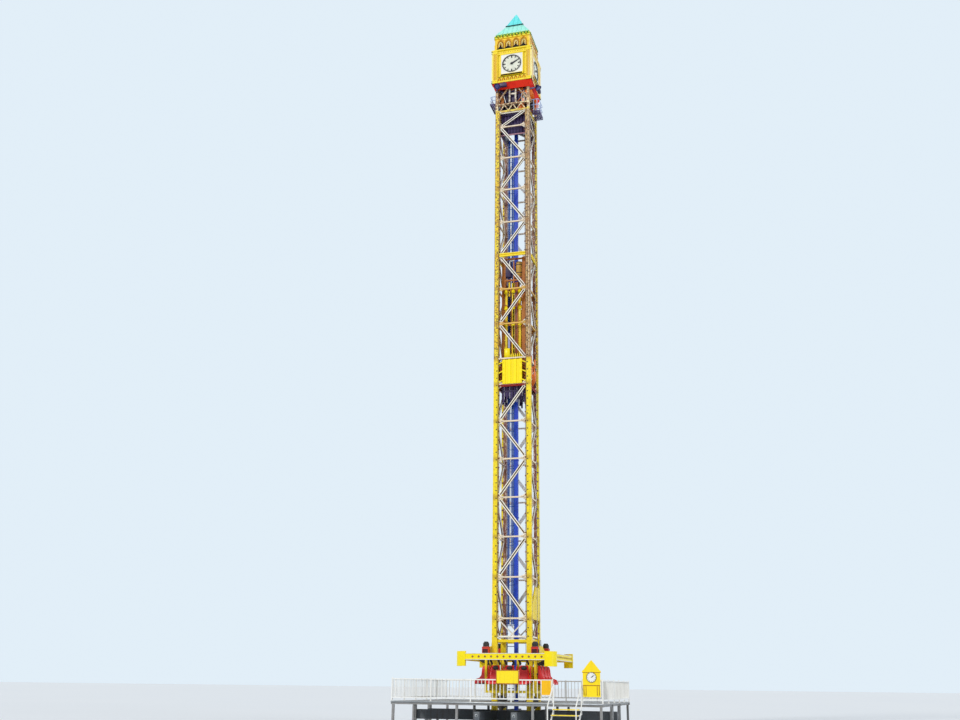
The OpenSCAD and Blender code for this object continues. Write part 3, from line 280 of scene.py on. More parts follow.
def raised(flat, height=0.0):
    """Flat points with the height as their third number."""
    return rows(flat[:, 0], flat[:, 1], height)


def ring(radius, count, height=0.0):
    """Points round a circle: (radius cos a, radius sin a, height) for a = 2 pi i / count."""
    angle = 2 * pi * np.arange(count) / count
    return rows(radius * np.cos(angle), radius * np.sin(angle), height)


def with_mirror_path(run):
    """A flat path followed by its mirror image over the second axis, from its end back to its start."""
    return np.concatenate([run, (run * np.array([-1, 1]))[::-1]])


def grid(*axes):
    """All combinations of the numbers on each axis, as rows of an array."""
    return np.stack(np.meshgrid(*axes, indexing="ij"), -1).reshape(-1, len(axes))


def rounded_outline(half_x, half_z, corner, steps=5):
    """An anticlockwise rectangle with round corners: four quarter circles joined by straight edges."""
    angle = np.linspace(0, pi / 2, steps)
    quarter = rows(np.cos(angle), np.sin(angle)) * corner
    centres = np.array([[half_x - corner, half_z - corner], [corner - half_x, half_z - corner],
                        [corner - half_x, corner - half_z], [half_x - corner, corner - half_z]])
    spin = [np.array([[np.cos(a), -np.sin(a)], [np.sin(a), np.cos(a)]]) for a in (0, pi / 2, pi, 3 * pi / 2)]
    return np.concatenate([quarter @ m.T + c for m, c in zip(spin, centres)])


def pointed_arch(width, height, steps=7):
    """Points of a pointed arch from its left foot over the peak to its right foot: straight jambs, then
    two arcs of 60 degrees whose centres stand at the opposite jambs."""
    angle = np.linspace(0, pi / 3, steps)
    right = rows(width * np.cos(angle) - width / 2, height - width * (0.866 - np.sin(angle)))
    return np.concatenate([[[-width / 2, 0]], right * np.array([-1, 1]), right[-2::-1], [[width / 2, 0]]])


def bars(start, end, up, width, low, high):
    """Straight bars between rows of points: the section spans half the width to both sides, and from low to
    high along the up vector, which is squared to each bar first."""
    start, end = np.atleast_2d(np.array(start, float)), np.atleast_2d(np.array(end, float))
    along = end - start
    length = np.linalg.norm(along, axis=1)[:, None]
    along = along / length
    side = np.cross(np.broadcast_to(np.array(up, float), along.shape), along)
    side /= np.linalg.norm(side, axis=1)[:, None]
    over = np.cross(along, side)
    unit = BOX_CORNERS[None]
    points = (start[:, None] + side[:, None] * (unit[..., :1] - 0.5) * width + over[:, None]
    * (low + (high - low) * unit[..., 1:2]) + along[:, None] * length[:, None] * unit[..., 2:])
    faces = BOX_FACES[None] + 8 * np.arange(len(start))[:, None, None]
    return points.reshape(-1, 3), [faces.reshape(-1, 4)]


def on_wall(shape, out, up=0.0, right=0.0):
    """Sets a shape drawn as (right, up, out) on the front side: right along x, up along z, out towards -y."""
    points, faces = shape
    return rows(points[:, 0] + right, -points[:, 2] - out, points[:, 1] + up), faces


FINISH = {}
SHARP = np.radians(40)


def piece(name, shape, slot_name, finish, body="tower", smooth=False, bevel=0.0, bevel_steps=2):
    """Makes a mesh object from a shape, rides it on a body, and gives it its finish.
    Its origin stays at the mast's foot, so its place is in its mesh."""
    points, faces = shape
    mesh = bpy.data.meshes.new(name)
    loops = np.concatenate([face.ravel() for face in faces]).astype(np.int32)
    sizes = np.concatenate([np.full(len(face), face.shape[1]) for face in faces])
    starts = np.concatenate([[0], np.cumsum(sizes)[:-1]]).astype(np.int32)
    mesh.vertices.add(len(points))
    mesh.vertices.foreach_set("co", points.astype(np.float32).ravel())
    mesh.loops.add(len(loops))
    mesh.loops.foreach_set("vertex_index", loops)
    mesh.polygons.add(len(sizes))
    mesh.polygons.foreach_set("loop_start", starts)
    mesh.update(calc_edges=True)
    mesh.validate()
    if smooth:
        mesh.polygons.foreach_set("use_smooth", np.ones(len(sizes), bool))
        mesh.set_sharp_from_angle(angle=SHARP)
    obj = bpy.data.objects.new(name, mesh)
    bpy.context.scene.collection.objects.link(obj)
    mesh.materials.append(FINISH[finish])
    if bevel:
        edge = obj.modifiers.new("soft edges", "BEVEL")
        edge.width, edge.segments, edge.limit_method = bevel, bevel_steps, "ANGLE"
        edge.angle_limit = SHARP
    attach(obj, body)
    return obj


def wall_piece(name, shape, out, slot_name, finish, up=0.0, sides=ALL_SIDES, **looks):
    """A piece drawn on the front wall at a distance out from the mast's axis and repeated on the sides."""
    return piece(name, on_sides(on_wall(shape, out, up), sides), slot_name, finish, **looks)


# Finishes

class Nodes:
    """Adds nodes to a tree. An input that is given a socket is joined to it, and any other value is set."""

    def __init__(self, tree):
        self.tree = tree

    def fill(self, node, inputs):
        for name, value in inputs.items():
            if isinstance(value, bpy.types.NodeSocket):
                self.tree.links.new(value, node.inputs[name])
            else:
                node.inputs[name].default_value = value

    def add(self, kind, inputs=None, **settings):
        node = self.tree.nodes.new(kind)
        for name, value in settings.items():
            setattr(node, name, value)
        self.fill(node, inputs or {})
        return node

    def math(self, operation, a, b=0.0, clamp=False):
        return self.add("ShaderNodeMath", {0: a, 1: b}, operation=operation, use_clamp=clamp).outputs[0]

    times = partialmethod(math, "MULTIPLY")
    plus = partialmethod(math, "ADD")
    minus = partialmethod(math, "SUBTRACT")
    ratio = partialmethod(math, "DIVIDE")
    size = partialmethod(math, "ABSOLUTE")
    part = partialmethod(math, "FRACT")
    most = partialmethod(math, "MAXIMUM")
    least = partialmethod(math, "MINIMUM")

    def mix(self, factor, a, b, share=None):
        """Colour a where the factor is 0 and b where it is 1. A share weakens the factor."""
        if share is not None:
            factor = self.times(factor, share)
        a, b = (colour if isinstance(colour, bpy.types.NodeSocket) else rgba(colour) for colour in (a, b))
        return self.add("ShaderNodeMix", {0: factor, 6: a, 7: b}, data_type="RGBA").outputs[2]

    def step(self, value, low, high, to_low=0.0, to_high=1.0):
        """A smooth step: to_low below low, to_high above high."""
        return self.add("ShaderNodeMapRange",
                        {"Value": value, "From Min": low, "From Max": high, "To Min": to_low,
                         "To Max": to_high}, interpolation_type="SMOOTHSTEP").outputs[0]

    def place(self):
        return self.add("ShaderNodeTexCoord").outputs["Object"]

    def scaled(self, vector, scale):
        return self.add("ShaderNodeMapping", {"Vector": vector, "Scale": scale}).outputs[0]

    def noise(self, vector, scale, detail=3.0, roughness=0.55):
        return self.add("ShaderNodeTexNoise",
                        {"Vector": vector, "Scale": scale, "Detail": detail, "Roughness": roughness}).outputs[
            0]

    def split(self, vector):
        return self.add("ShaderNodeSeparateXYZ", {"Vector": vector}).outputs

    def bump(self, strength, distance, height):
        return self.add("ShaderNodeBump", {"Strength": strength, "Distance": distance, "Height": height}).outputs[
            0]

    def across(self, x, y):
        """The distance from the nearer of the mast's two middle planes."""
        return self.least(self.size(x), self.size(y))

    def length(self, a, b):
        return self.math("SQRT", self.plus(self.times(a, a), self.times(b, b)))

    def from_level(self, z, first):
        """The distance from the nearest level of the mast: the height is folded at every bay from the first."""
        folded = self.part(self.plus(self.ratio(self.minus(z, first), BAY), 0.5))
        return self.times(self.size(self.minus(folded, 0.5)), BAY)


def rgba(colour):
    """A colour of three or four numbers as an opaque one."""
    return (*tuple(colour)[:3], 1.0)


def new_group(name, inputs, outputs):
    """An empty node group with sockets given as (name, kind, default)."""
    tree = bpy.data.node_groups.new(name, "ShaderNodeTree")
    for in_out, sockets in (("INPUT", inputs), ("OUTPUT", outputs)):
        for label, kind, default in sockets:
            socket = tree.interface.new_socket(name=label, in_out=in_out, socket_type="NodeSocket" + kind)
            if default is not None:
                socket.default_value = default
    return tree, Nodes(tree), tree.nodes.new("NodeGroupInput"), tree.nodes.new("NodeGroupOutput")


def weathering_group():
    """Paint outdoors: faded in patches of a metre or more, with rain streaks that run down, fine dirt,
    chips a centimetre wide, and the slight orange peel of brushed paint as height."""
    tree, n, given, out = new_group(
        "Weathered paint",
        [("Paint", "Color", (1, 1, 1, 1)), ("Faded", "Color", (1, 1, 1, 1)),
         ("Dirt", "Color", (0.1, 0.07, 0.05, 1)), ("Under", "Color", (0.2, 0.08, 0.03, 1)),
         ("Fading", "Float", 0.5), ("Streaks", "Float", 0.3), ("Grime", "Float", 0.2),
         ("Chips", "Float", 0.4), ("Gloss", "Float", 0.35)],
        [("Color", "Color", None), ("Roughness", "Float", None), ("Height", "Float", None)])
    place = n.place()
    patches = n.step(n.noise(n.scaled(place, (1, 1, 0.6)), 0.8, 4), 0.38, 0.66)
    streaks = n.step(n.noise(n.scaled(place, (11, 11, 0.55)), 1.0, 5, 0.6), 0.50, 0.74)
    fine = n.noise(place, 16.0, 6, 0.65)
    grime = n.step(fine, 0.42, 0.80)
    chips = n.times(n.step(n.noise(place, 42.0, 4, 0.7), 0.655, 0.70),
                    n.step(n.noise(place, 2.6, 3), 0.45, 0.62))
    colour = n.mix(n.times(patches, given.outputs["Fading"]), given.outputs["Paint"], given.outputs["Faded"])
    soil = n.plus(n.times(streaks, given.outputs["Streaks"]), n.times(grime, given.outputs["Grime"]),
                  clamp=True)
    colour = n.mix(soil, colour, given.outputs["Dirt"])
    chipped = n.times(chips, given.outputs["Chips"], clamp=True)
    colour = n.mix(chipped, colour, given.outputs["Under"])
    rough = n.plus(given.outputs["Gloss"], n.times(soil, 0.45))
    rough = n.plus(rough, n.times(n.plus(fine, -0.5), 0.25), clamp=True)
    rough = n.most(rough, n.times(chipped, 0.8))
    peel = n.minus(n.times(n.noise(place, 90.0, 2), 0.35), n.times(chipped, 0.9))
    n.fill(out, {"Color": colour, "Roughness": rough, "Height": peel})
    return tree


def joint_grime_group():
    """A mask that is 1 within a few centimetres of each bolted level of the mast. Noise breaks up its edge."""
    tree, n, given, out = new_group(
        "Grime at the levels", [("Reach", "Float", 0.12)], [("Mask", "Float", None)])
    place = n.place()
    z = n.split(place)[2]
    lower, upper = n.from_level(z, JOINT_LOW), n.from_level(z, JOINT_TOP)
    high = n.math("GREATER_THAN", z, JOINT_LOW + 0.4)
    near = n.plus(n.times(upper, high), n.times(lower, n.minus(1.0, high)))
    near = n.plus(near, n.times(n.noise(place, 7.0, 4, 0.7), 0.22))
    mask = n.minus(1.0, n.step(n.ratio(near, given.outputs["Reach"]), 0.75, 1.9))
    n.fill(out, {"Mask": mask})
    return tree


def tread_plate_group():
    """Raised lozenges of a tread plate: the plan is cut into square cells, lozenges lean the other way in
    every second cell, and each is an ellipse with a soft edge."""
    tree, n, given, out = new_group("Tread plate", [("Cell", "Float", 0.045)], [("Height", "Float", None)])
    xyz = n.split(n.place())

    def cell(value):
        scaled = n.ratio(value, given.outputs["Cell"])
        return n.math("FLOOR", scaled), n.minus(n.part(scaled), 0.5)

    column, u = cell(xyz[0])
    row, v = cell(xyz[1])
    parity = n.math("MODULO", n.size(n.plus(column, row)), 2.0)
    sign = n.minus(n.times(parity, 2.0), 1.0)
    along = n.plus(u, n.times(v, sign))
    across = n.minus(u, n.times(v, sign))
    ellipse = n.plus(n.math("POWER", n.ratio(along, 0.56), 2.0), n.math("POWER", n.ratio(across, 0.17), 2.0))
    n.fill(out, {"Height": n.step(ellipse, 1.3, 0.5)})
    return tree


GROUPS = {}


def group_node(n, name, build, inputs):
    """Places a shared group in a material's tree, and builds the group the first time."""
    if name not in GROUPS:
        GROUPS[name] = build()
    return n.add("ShaderNodeGroup", inputs, node_tree=GROUPS[name])


def new_material(name):
    """A material with nothing in its tree but the surface shader and the output."""
    material = bpy.data.materials.new(name)
    material.use_nodes = True
    tree = material.node_tree
    shader = tree.nodes["Principled BSDF"]
    return material, Nodes(tree), shader


def darker(colour, share):
    return tuple(c * share for c in colour)


def paint(name, colour, faded=None, dirt=(0.10, 0.055, 0.03), under=(0.22, 0.10, 0.05), fading=0.5,
          streaks=0.3, grime=0.25, chips=0.4, gloss=0.42, coat=0.0, specular=0.32, bump=0.5, change=None):
    """Weathered paint of one colour. change takes the nodes, the place and the colour and gives another
    colour, for a pattern that is painted on before the weather works on it."""
    material, n, shader = new_material(name)
    faded = faded or tuple(0.88 * c + 0.03 for c in colour)
    base, faded_base = rgba(colour), rgba(faded)
    if change:
        base = change(n, n.place(), base)
        faded_base = n.mix(0.35, base, faded)
    w = group_node(n, "weather", weathering_group,
                   {"Paint": base, "Faded": faded_base, "Dirt": rgba(dirt), "Under": rgba(under),
                    "Fading": fading, "Streaks": streaks, "Grime": grime, "Chips": chips, "Gloss": gloss})
    n.fill(shader,
           {"Base Color": w.outputs["Color"], "Roughness": w.outputs["Roughness"],
            "Normal": n.bump(bump, 0.004, w.outputs["Height"]), "Specular IOR Level": specular,
            "Coat Weight": coat, "Coat Roughness": 0.15})
    return material


def between(n, value, low, high, soft=0.004):
    """1 where the value lies between low and high."""
    return n.times(n.step(value, low - soft, low + soft), n.step(value, high + soft, high - soft))


def mast_paint(colours):
    """Columns in yellow, mottled with brown above the joint, and bars in cream. A point belongs to a column
    where both its distances from the mast's middle planes pass the columns' inner face. A bar is pale on its
    outer and inner faces and dark between them, a painted shadow in its channel, so its two lips stand out from
    the trough. From the joint up to the heavy beam the level bars are orange. Above the joint the front right
    column is tan with a seam, and both edges of each outer face are dark. The inner half of each inner face
    is painted shade: dark maroon with pale flecks.
    Pin holes run up the outer faces beside their inner edge, as dark spots at a pitch of a third of a metre."""
    def change(n, place, base):
        x, y, z = n.split(place)[:3]
        inner, outer = n.across(x, y), n.most(n.size(x), n.size(y))
        column = n.math("GREATER_THAN", inner, COLUMN_IN - 0.0005)
        face = n.step(outer, MAST - 0.004, MAST - 0.002)
        high = n.step(z, JOINT_TOP - 0.01, JOINT_TOP + 0.01)
        patches = n.step(n.noise(place, 2.4, 5, 0.7), 0.40, 0.62)
        mottle = n.step(n.noise(n.scaled(place, (1, 1, 0.7)), 13.0, 5, 0.75), 0.49, 0.56)
        upper = n.mix(patches, colours.column_high, (0.90, 0.72, 0.03))
        tan = n.mix(patches, (0.46, 0.28, 0.17), (0.62, 0.42, 0.20))
        corner = n.times(n.step(x, 0.0, 0.01), n.step(y, 0.0, -0.01))
        seam = n.mix(between(n, inner, COLUMN_IN + 0.095, COLUMN_IN + 0.125, 0.006), tan, (0.12, 0.05, 0.04))
        seam = n.mix(between(n, inner, COLUMN_IN + 0.140, COLUMN_IN + 0.160, 0.006), seam, (0.84, 0.74, 0.66))
        upper = n.mix(corner, upper, seam, share=0.9)
        upper = n.mix(mottle, upper, (0.15, 0.06, 0.015), share=0.9)
        lower = n.mix(patches, colours.column_low, (0.96, 0.82, 0.015), share=0.5)
        lower = n.mix(mottle, lower, (0.36, 0.21, 0.01), share=0.34)
        columns = n.mix(high, lower, upper)
        near = group_node(n, "level", joint_grime_group, {"Reach": 0.16}).outputs[0]
        columns = n.mix(near, columns, (0.30, 0.12, 0.02), share=0.5)
        rim = n.most(n.step(inner, COLUMN_IN + 0.044, COLUMN_IN + 0.020),
                     n.times(n.step(inner, MAST - 0.030, MAST - 0.012), high))
        edge = n.times(rim, face)
        columns = n.mix(edge, columns, (0.12, 0.05, 0.015), share=0.85)
        fold = n.times(n.minus(n.part(n.ratio(z, 0.34)), 0.5), 0.34)
        off = n.minus(inner, COLUMN_IN + 0.075)
        radius = n.length(fold, off)
        columns = n.mix(n.times(n.step(radius, 0.034, 0.026), face), columns, (0.015, 0.01, 0.01))
        # Painted shade: the inner half of each inner face is dark maroon with pale flecks, for the shade inside
        # the mast
        flecks = n.step(n.noise(n.scaled(place, (1, 1, 0.35)), 16.0, 4, 0.7), 0.55, 0.60)
        shaded = n.mix(flecks, (0.19, 0.055, 0.045), (0.72, 0.58, 0.50))
        inner_face_shade = n.times(
            n.step(inner, COLUMN_IN + 0.002, COLUMN_IN + 0.001),
            n.step(outer, COLUMN_IN + 0.150, COLUMN_IN + 0.135))
        columns = n.mix(inner_face_shade, columns, shaded)
        level = n.times(n.step(n.from_level(z, JOINT_TOP), 0.090, 0.070),
                        between(n, z, JOINT_TOP + 0.3, INNER_TOP - 0.3))
        pale = n.mix(level, colours.bar, (0.88, 0.48, 0.03), share=0.9)
        # Painted shadow: each bar's channel between its two lips is darkened
        trough = between(n, outer, COLUMN_MID - 0.024, COLUMN_MID + 0.024, 0.003)
        trough_shadow = n.mix(mottle, (0.17, 0.10, 0.055), (0.07, 0.038, 0.022))
        cream = n.mix(trough, pale, trough_shadow)
        cream = n.mix(n.step(near, 0.2, 0.9), cream, (0.60, 0.32, 0.05), share=0.4)
        return n.mix(column, cream, columns)

    return paint("mast_paint", colours.column_low, change=change, fading=0.25, streaks=0.26, grime=0.22,
                 chips=0.6, gloss=0.40, coat=0.08)


def house_paint(colours):
    """Gold sheet metal: pale down the outer corners, deep gold in the flutes with a dark line on both sides of
    each, deeper on the belfry, yellow-green under the eaves, and pinkish white in patches on the right side:
    a painted highlight for the light that washes that side."""
    def change(n, place, base):
        x, y, z = n.split(place)[:3]
        wide = n.across(x, y)
        flutes = between(n, wide, HOUSE_HALF - 0.27, HOUSE_HALF - 0.09, 0.01)
        shaft = between(n, z, HOUSE_LOW + 0.17, HOUSE_TOP - 0.23, 0.01)
        inside = n.times(flutes, shaft)
        colour = n.mix(inside, base, (0.90, 0.50, 0.004), share=0.7)
        ripple = n.part(n.ratio(n.minus(wide, HOUSE_HALF - 0.27), 0.06))
        line = n.step(n.size(n.minus(ripple, 0.5)), 0.30, 0.40)
        colour = n.mix(n.times(line, inside), colour, (0.24, 0.085, 0.01), share=0.88)
        pale = n.step(wide, HOUSE_HALF - 0.085, HOUSE_HALF - 0.03)
        colour = n.mix(pale, colour, (0.96, 0.92, 0.36), share=0.8)
        belfry = n.step(z, BELFRY_LOW.z + 0.02, BELFRY_LOW.z + 0.06)
        colour = n.mix(belfry, colour, (0.96, 0.60, 0.008), share=0.6)
        eaves = n.step(z, BELFRY_HIGH.z - 0.20, BELFRY_HIGH.z - 0.12)
        colour = n.mix(eaves, colour, (0.80, 0.90, 0.04), share=0.9)
        blotch = n.step(n.noise(place, 5.5, 5, 0.7), 0.50, 0.70)
        colour = n.mix(blotch, colour, (0.76, 0.40, 0.01), share=0.3)
        # Painted highlight: pinkish white patches on the right side's faces stand for the light that washes that
        # side
        right_side_highlight = n.times(
            n.step(x, WALL_HALF - 0.12, WALL_HALF - 0.06),
            n.step(n.noise(n.scaled(place, (1, 1, 0.4)), 3.0, 4, 0.7), 0.30, 0.62))
        right_side_highlight = n.times(right_side_highlight, n.step(n.size(y), HOUSE_HALF - 0.002, HOUSE_HALF - 0.005))
        return n.mix(right_side_highlight, colour, (0.90, 0.80, 0.74), share=0.62)

    return paint("house_paint", colours.house, change=change, fading=0.2, streaks=0.22, grime=0.18, chips=0.3,
                 gloss=0.42, coat=0.1)


def head_paint():
    """The head frame: tan legs, cream studs in the middle of each side, and pale yellow bars at its foot."""
    def change(n, place, base):
        x, y, z = n.split(place)[:3]
        across = n.across(x, y)
        colour = n.mix(n.step(across, 0.21, 0.20), base, (0.90, 0.85, 0.72))
        mottle = n.step(n.noise(place, 9.0, 4, 0.7), 0.45, 0.54)
        colour = n.mix(mottle, colour, (0.13, 0.04, 0.025), share=0.8)
        foot = n.mix(mottle, (0.92, 0.76, 0.05), (0.60, 0.36, 0.06))
        truss = n.mix(mottle, (0.88, 0.76, 0.46), (0.26, 0.11, 0.04))
        foot = n.mix(n.step(z, MAST_TOP + 0.10, MAST_TOP + 0.13), foot, truss)
        return n.mix(n.step(z, MAST_TOP + 0.48, MAST_TOP + 0.46), colour, foot)

    return paint("head_paint", (0.74, 0.48, 0.22), faded=(0.80, 0.62, 0.40), dirt=(0.05, 0.018, 0.012),
                 change=change, streaks=0.55, grime=0.4, chips=0.7)


def dial_paint(sizes):
    """A white square and a pale dial: the distance from the dial's middle is taken in the plane of each side,
    the ring is dark, and the field inside it is grey-green with a worn, cloudy look."""
    def change(n, place, base):
        x, y, z = n.split(place)[:3]
        across = n.across(x, y)
        radius = n.length(across, n.minus(z, DIAL_Z))
        cloud = n.step(n.noise(place, 6.0, 5, 0.7), 0.35, 0.7)
        field = n.mix(cloud, (0.66, 0.70, 0.58), (0.80, 0.79, 0.66))
        inside = n.step(radius, sizes.dial_radius - 0.02, sizes.dial_radius - 0.03)
        colour = n.mix(inside, base, field)
        ring = between(n, radius, sizes.dial_radius - 0.05, sizes.dial_radius - 0.012, 0.003)
        return n.mix(ring, colour, (0.035, 0.035, 0.045))

    return paint("dial_paint", (0.84, 0.84, 0.78), faded=(0.74, 0.72, 0.64), change=change, fading=0.3,
                 streaks=0.22, grime=0.12, chips=0.15, gloss=0.3, coat=0.3, bump=0.25)


def roof_paint(colours):
    """Aqua sheets: a pale skirt below the break and a stronger top, with rain marks. The slab under the skirt
    is yellow-green and the blocks round it are dark green."""
    def change(n, place, base):
        x, y, z = n.split(place)[:3]
        top = n.step(z, ROOF_BREAK - 0.02, ROOF_BREAK + 0.02)
        colour = n.mix(top, colours.roof_low, colours.roof_high)
        edge = n.step(z, EAVES_LOW.z + 0.07, EAVES_LOW.z + 0.03)
        colour = n.mix(edge, colour, (0.56, 0.80, 0.10), share=0.8)
        outer = n.most(n.size(x), n.size(y))
        under = n.times(n.step(outer, 0.8352, 0.836), n.step(z, EAVES_LOW.z - 0.001, EAVES_LOW.z - 0.004))
        return n.mix(under, colour, (0.015, 0.10, 0.02))

    return paint("roof_paint", colours.roof_low, change=change, dirt=(0.10, 0.26, 0.22),
                 under=(0.40, 0.52, 0.47), fading=0.35, streaks=0.30, grime=0.18, chips=0.2, gloss=0.4,
                 coat=0.1)


def metal(name, colour, rough=0.4, dirt=(0.08, 0.07, 0.06), soil=0.3):
    """Bare or galvanised metal: a spangle of cells, a drawn grain and brown dirt in patches."""
    material, n, shader = new_material(name)
    place = n.place()
    drawn = n.noise(n.scaled(place, (30, 30, 4)), 1.0, 5, 0.7)
    cells = n.add("ShaderNodeTexVoronoi", {"Vector": place, "Scale": 34.0}).outputs["Distance"]
    patches = n.step(n.noise(place, 3.0, 5, 0.65), 0.46, 0.72)
    lit = n.mix(cells, colour, darker(colour, 0.72), share=0.6)
    lit = n.mix(n.times(patches, soil), lit, dirt)
    roughness = n.plus(n.times(drawn, 0.35), rough - 0.17, clamp=True)
    roughness = n.plus(roughness, n.times(patches, 0.3 * soil), clamp=True)
    n.fill(shader,
           {"Base Color": lit, "Roughness": roughness, "Normal": n.bump(0.3, 0.002, drawn), "Metallic": 0.9})
    return material


def tread_metal():
    """The platform's tread plate: raised lozenges that are brighter where feet polish them, dirt between."""
    material, n, shader = new_material("tread_metal")
    place = n.place()
    lozenges = group_node(n, "tread", tread_plate_group, {"Cell": 0.045}).outputs[0]
    patches = n.step(n.noise(place, 1.3, 5, 0.7), 0.35, 0.70)
    worn = n.mix(lozenges, (0.30, 0.30, 0.30), (0.62, 0.62, 0.61))
    worn = n.mix(patches, worn, (0.20, 0.17, 0.14), share=0.45)
    rough = n.minus(0.62, n.times(lozenges, 0.22))
    rough = n.plus(rough, n.times(patches, 0.15), clamp=True)
    n.fill(shader,
           {"Base Color": worn, "Roughness": rough, "Normal": n.bump(0.8, 0.003, lozenges), "Metallic": 0.65})
    return material


def strand_steel():
    """Steel rope: strands wind round it, as stripes of height plus angle, with grease between them."""
    material, n, shader = new_material("strand_steel")
    x, y, z = n.split(n.place())[:3]
    turn = n.math("SINE", n.plus(n.times(z, 95.0), n.times(n.plus(x, y), 160.0)))
    ridge = n.step(turn, -0.8, 0.9)
    colour = n.mix(ridge, (0.05, 0.045, 0.04), (0.46, 0.46, 0.45))
    rough = n.minus(0.6, n.times(ridge, 0.25))
    n.fill(shader,
           {"Base Color": colour, "Roughness": rough, "Normal": n.bump(0.8, 0.003, ridge), "Metallic": 0.8})
    return material


def moulded(name, colour, rough=0.4, grain=220.0, depth=0.4, coat=0.0, scuff=(0.5, 0.5, 0.5), wear=0.2):
    """Moulded plastic or foam skin: a fine leather-like grain from cells, and paler scuffs in patches."""
    material, n, shader = new_material(name)
    place = n.place()
    cells = n.add("ShaderNodeTexVoronoi", {"Vector": place, "Scale": grain}, feature="SMOOTH_F1").outputs[
        "Distance"]
    scuffs = n.times(n.step(n.noise(place, 11.0, 6, 0.75), 0.52, 0.74), wear)
    tone = n.noise(place, 3.0, 3)
    skin = n.mix(n.step(tone, 0.3, 0.7), darker(colour, 0.86), colour)
    skin = n.mix(scuffs, skin, scuff)
    rough = n.plus(n.times(scuffs, 0.8), n.plus(n.times(cells, 0.12), rough), clamp=True)
    n.fill(shader,
           {"Base Color": skin, "Roughness": rough, "Normal": n.bump(depth, 0.001, cells),
            "Coat Weight": coat})
    return material


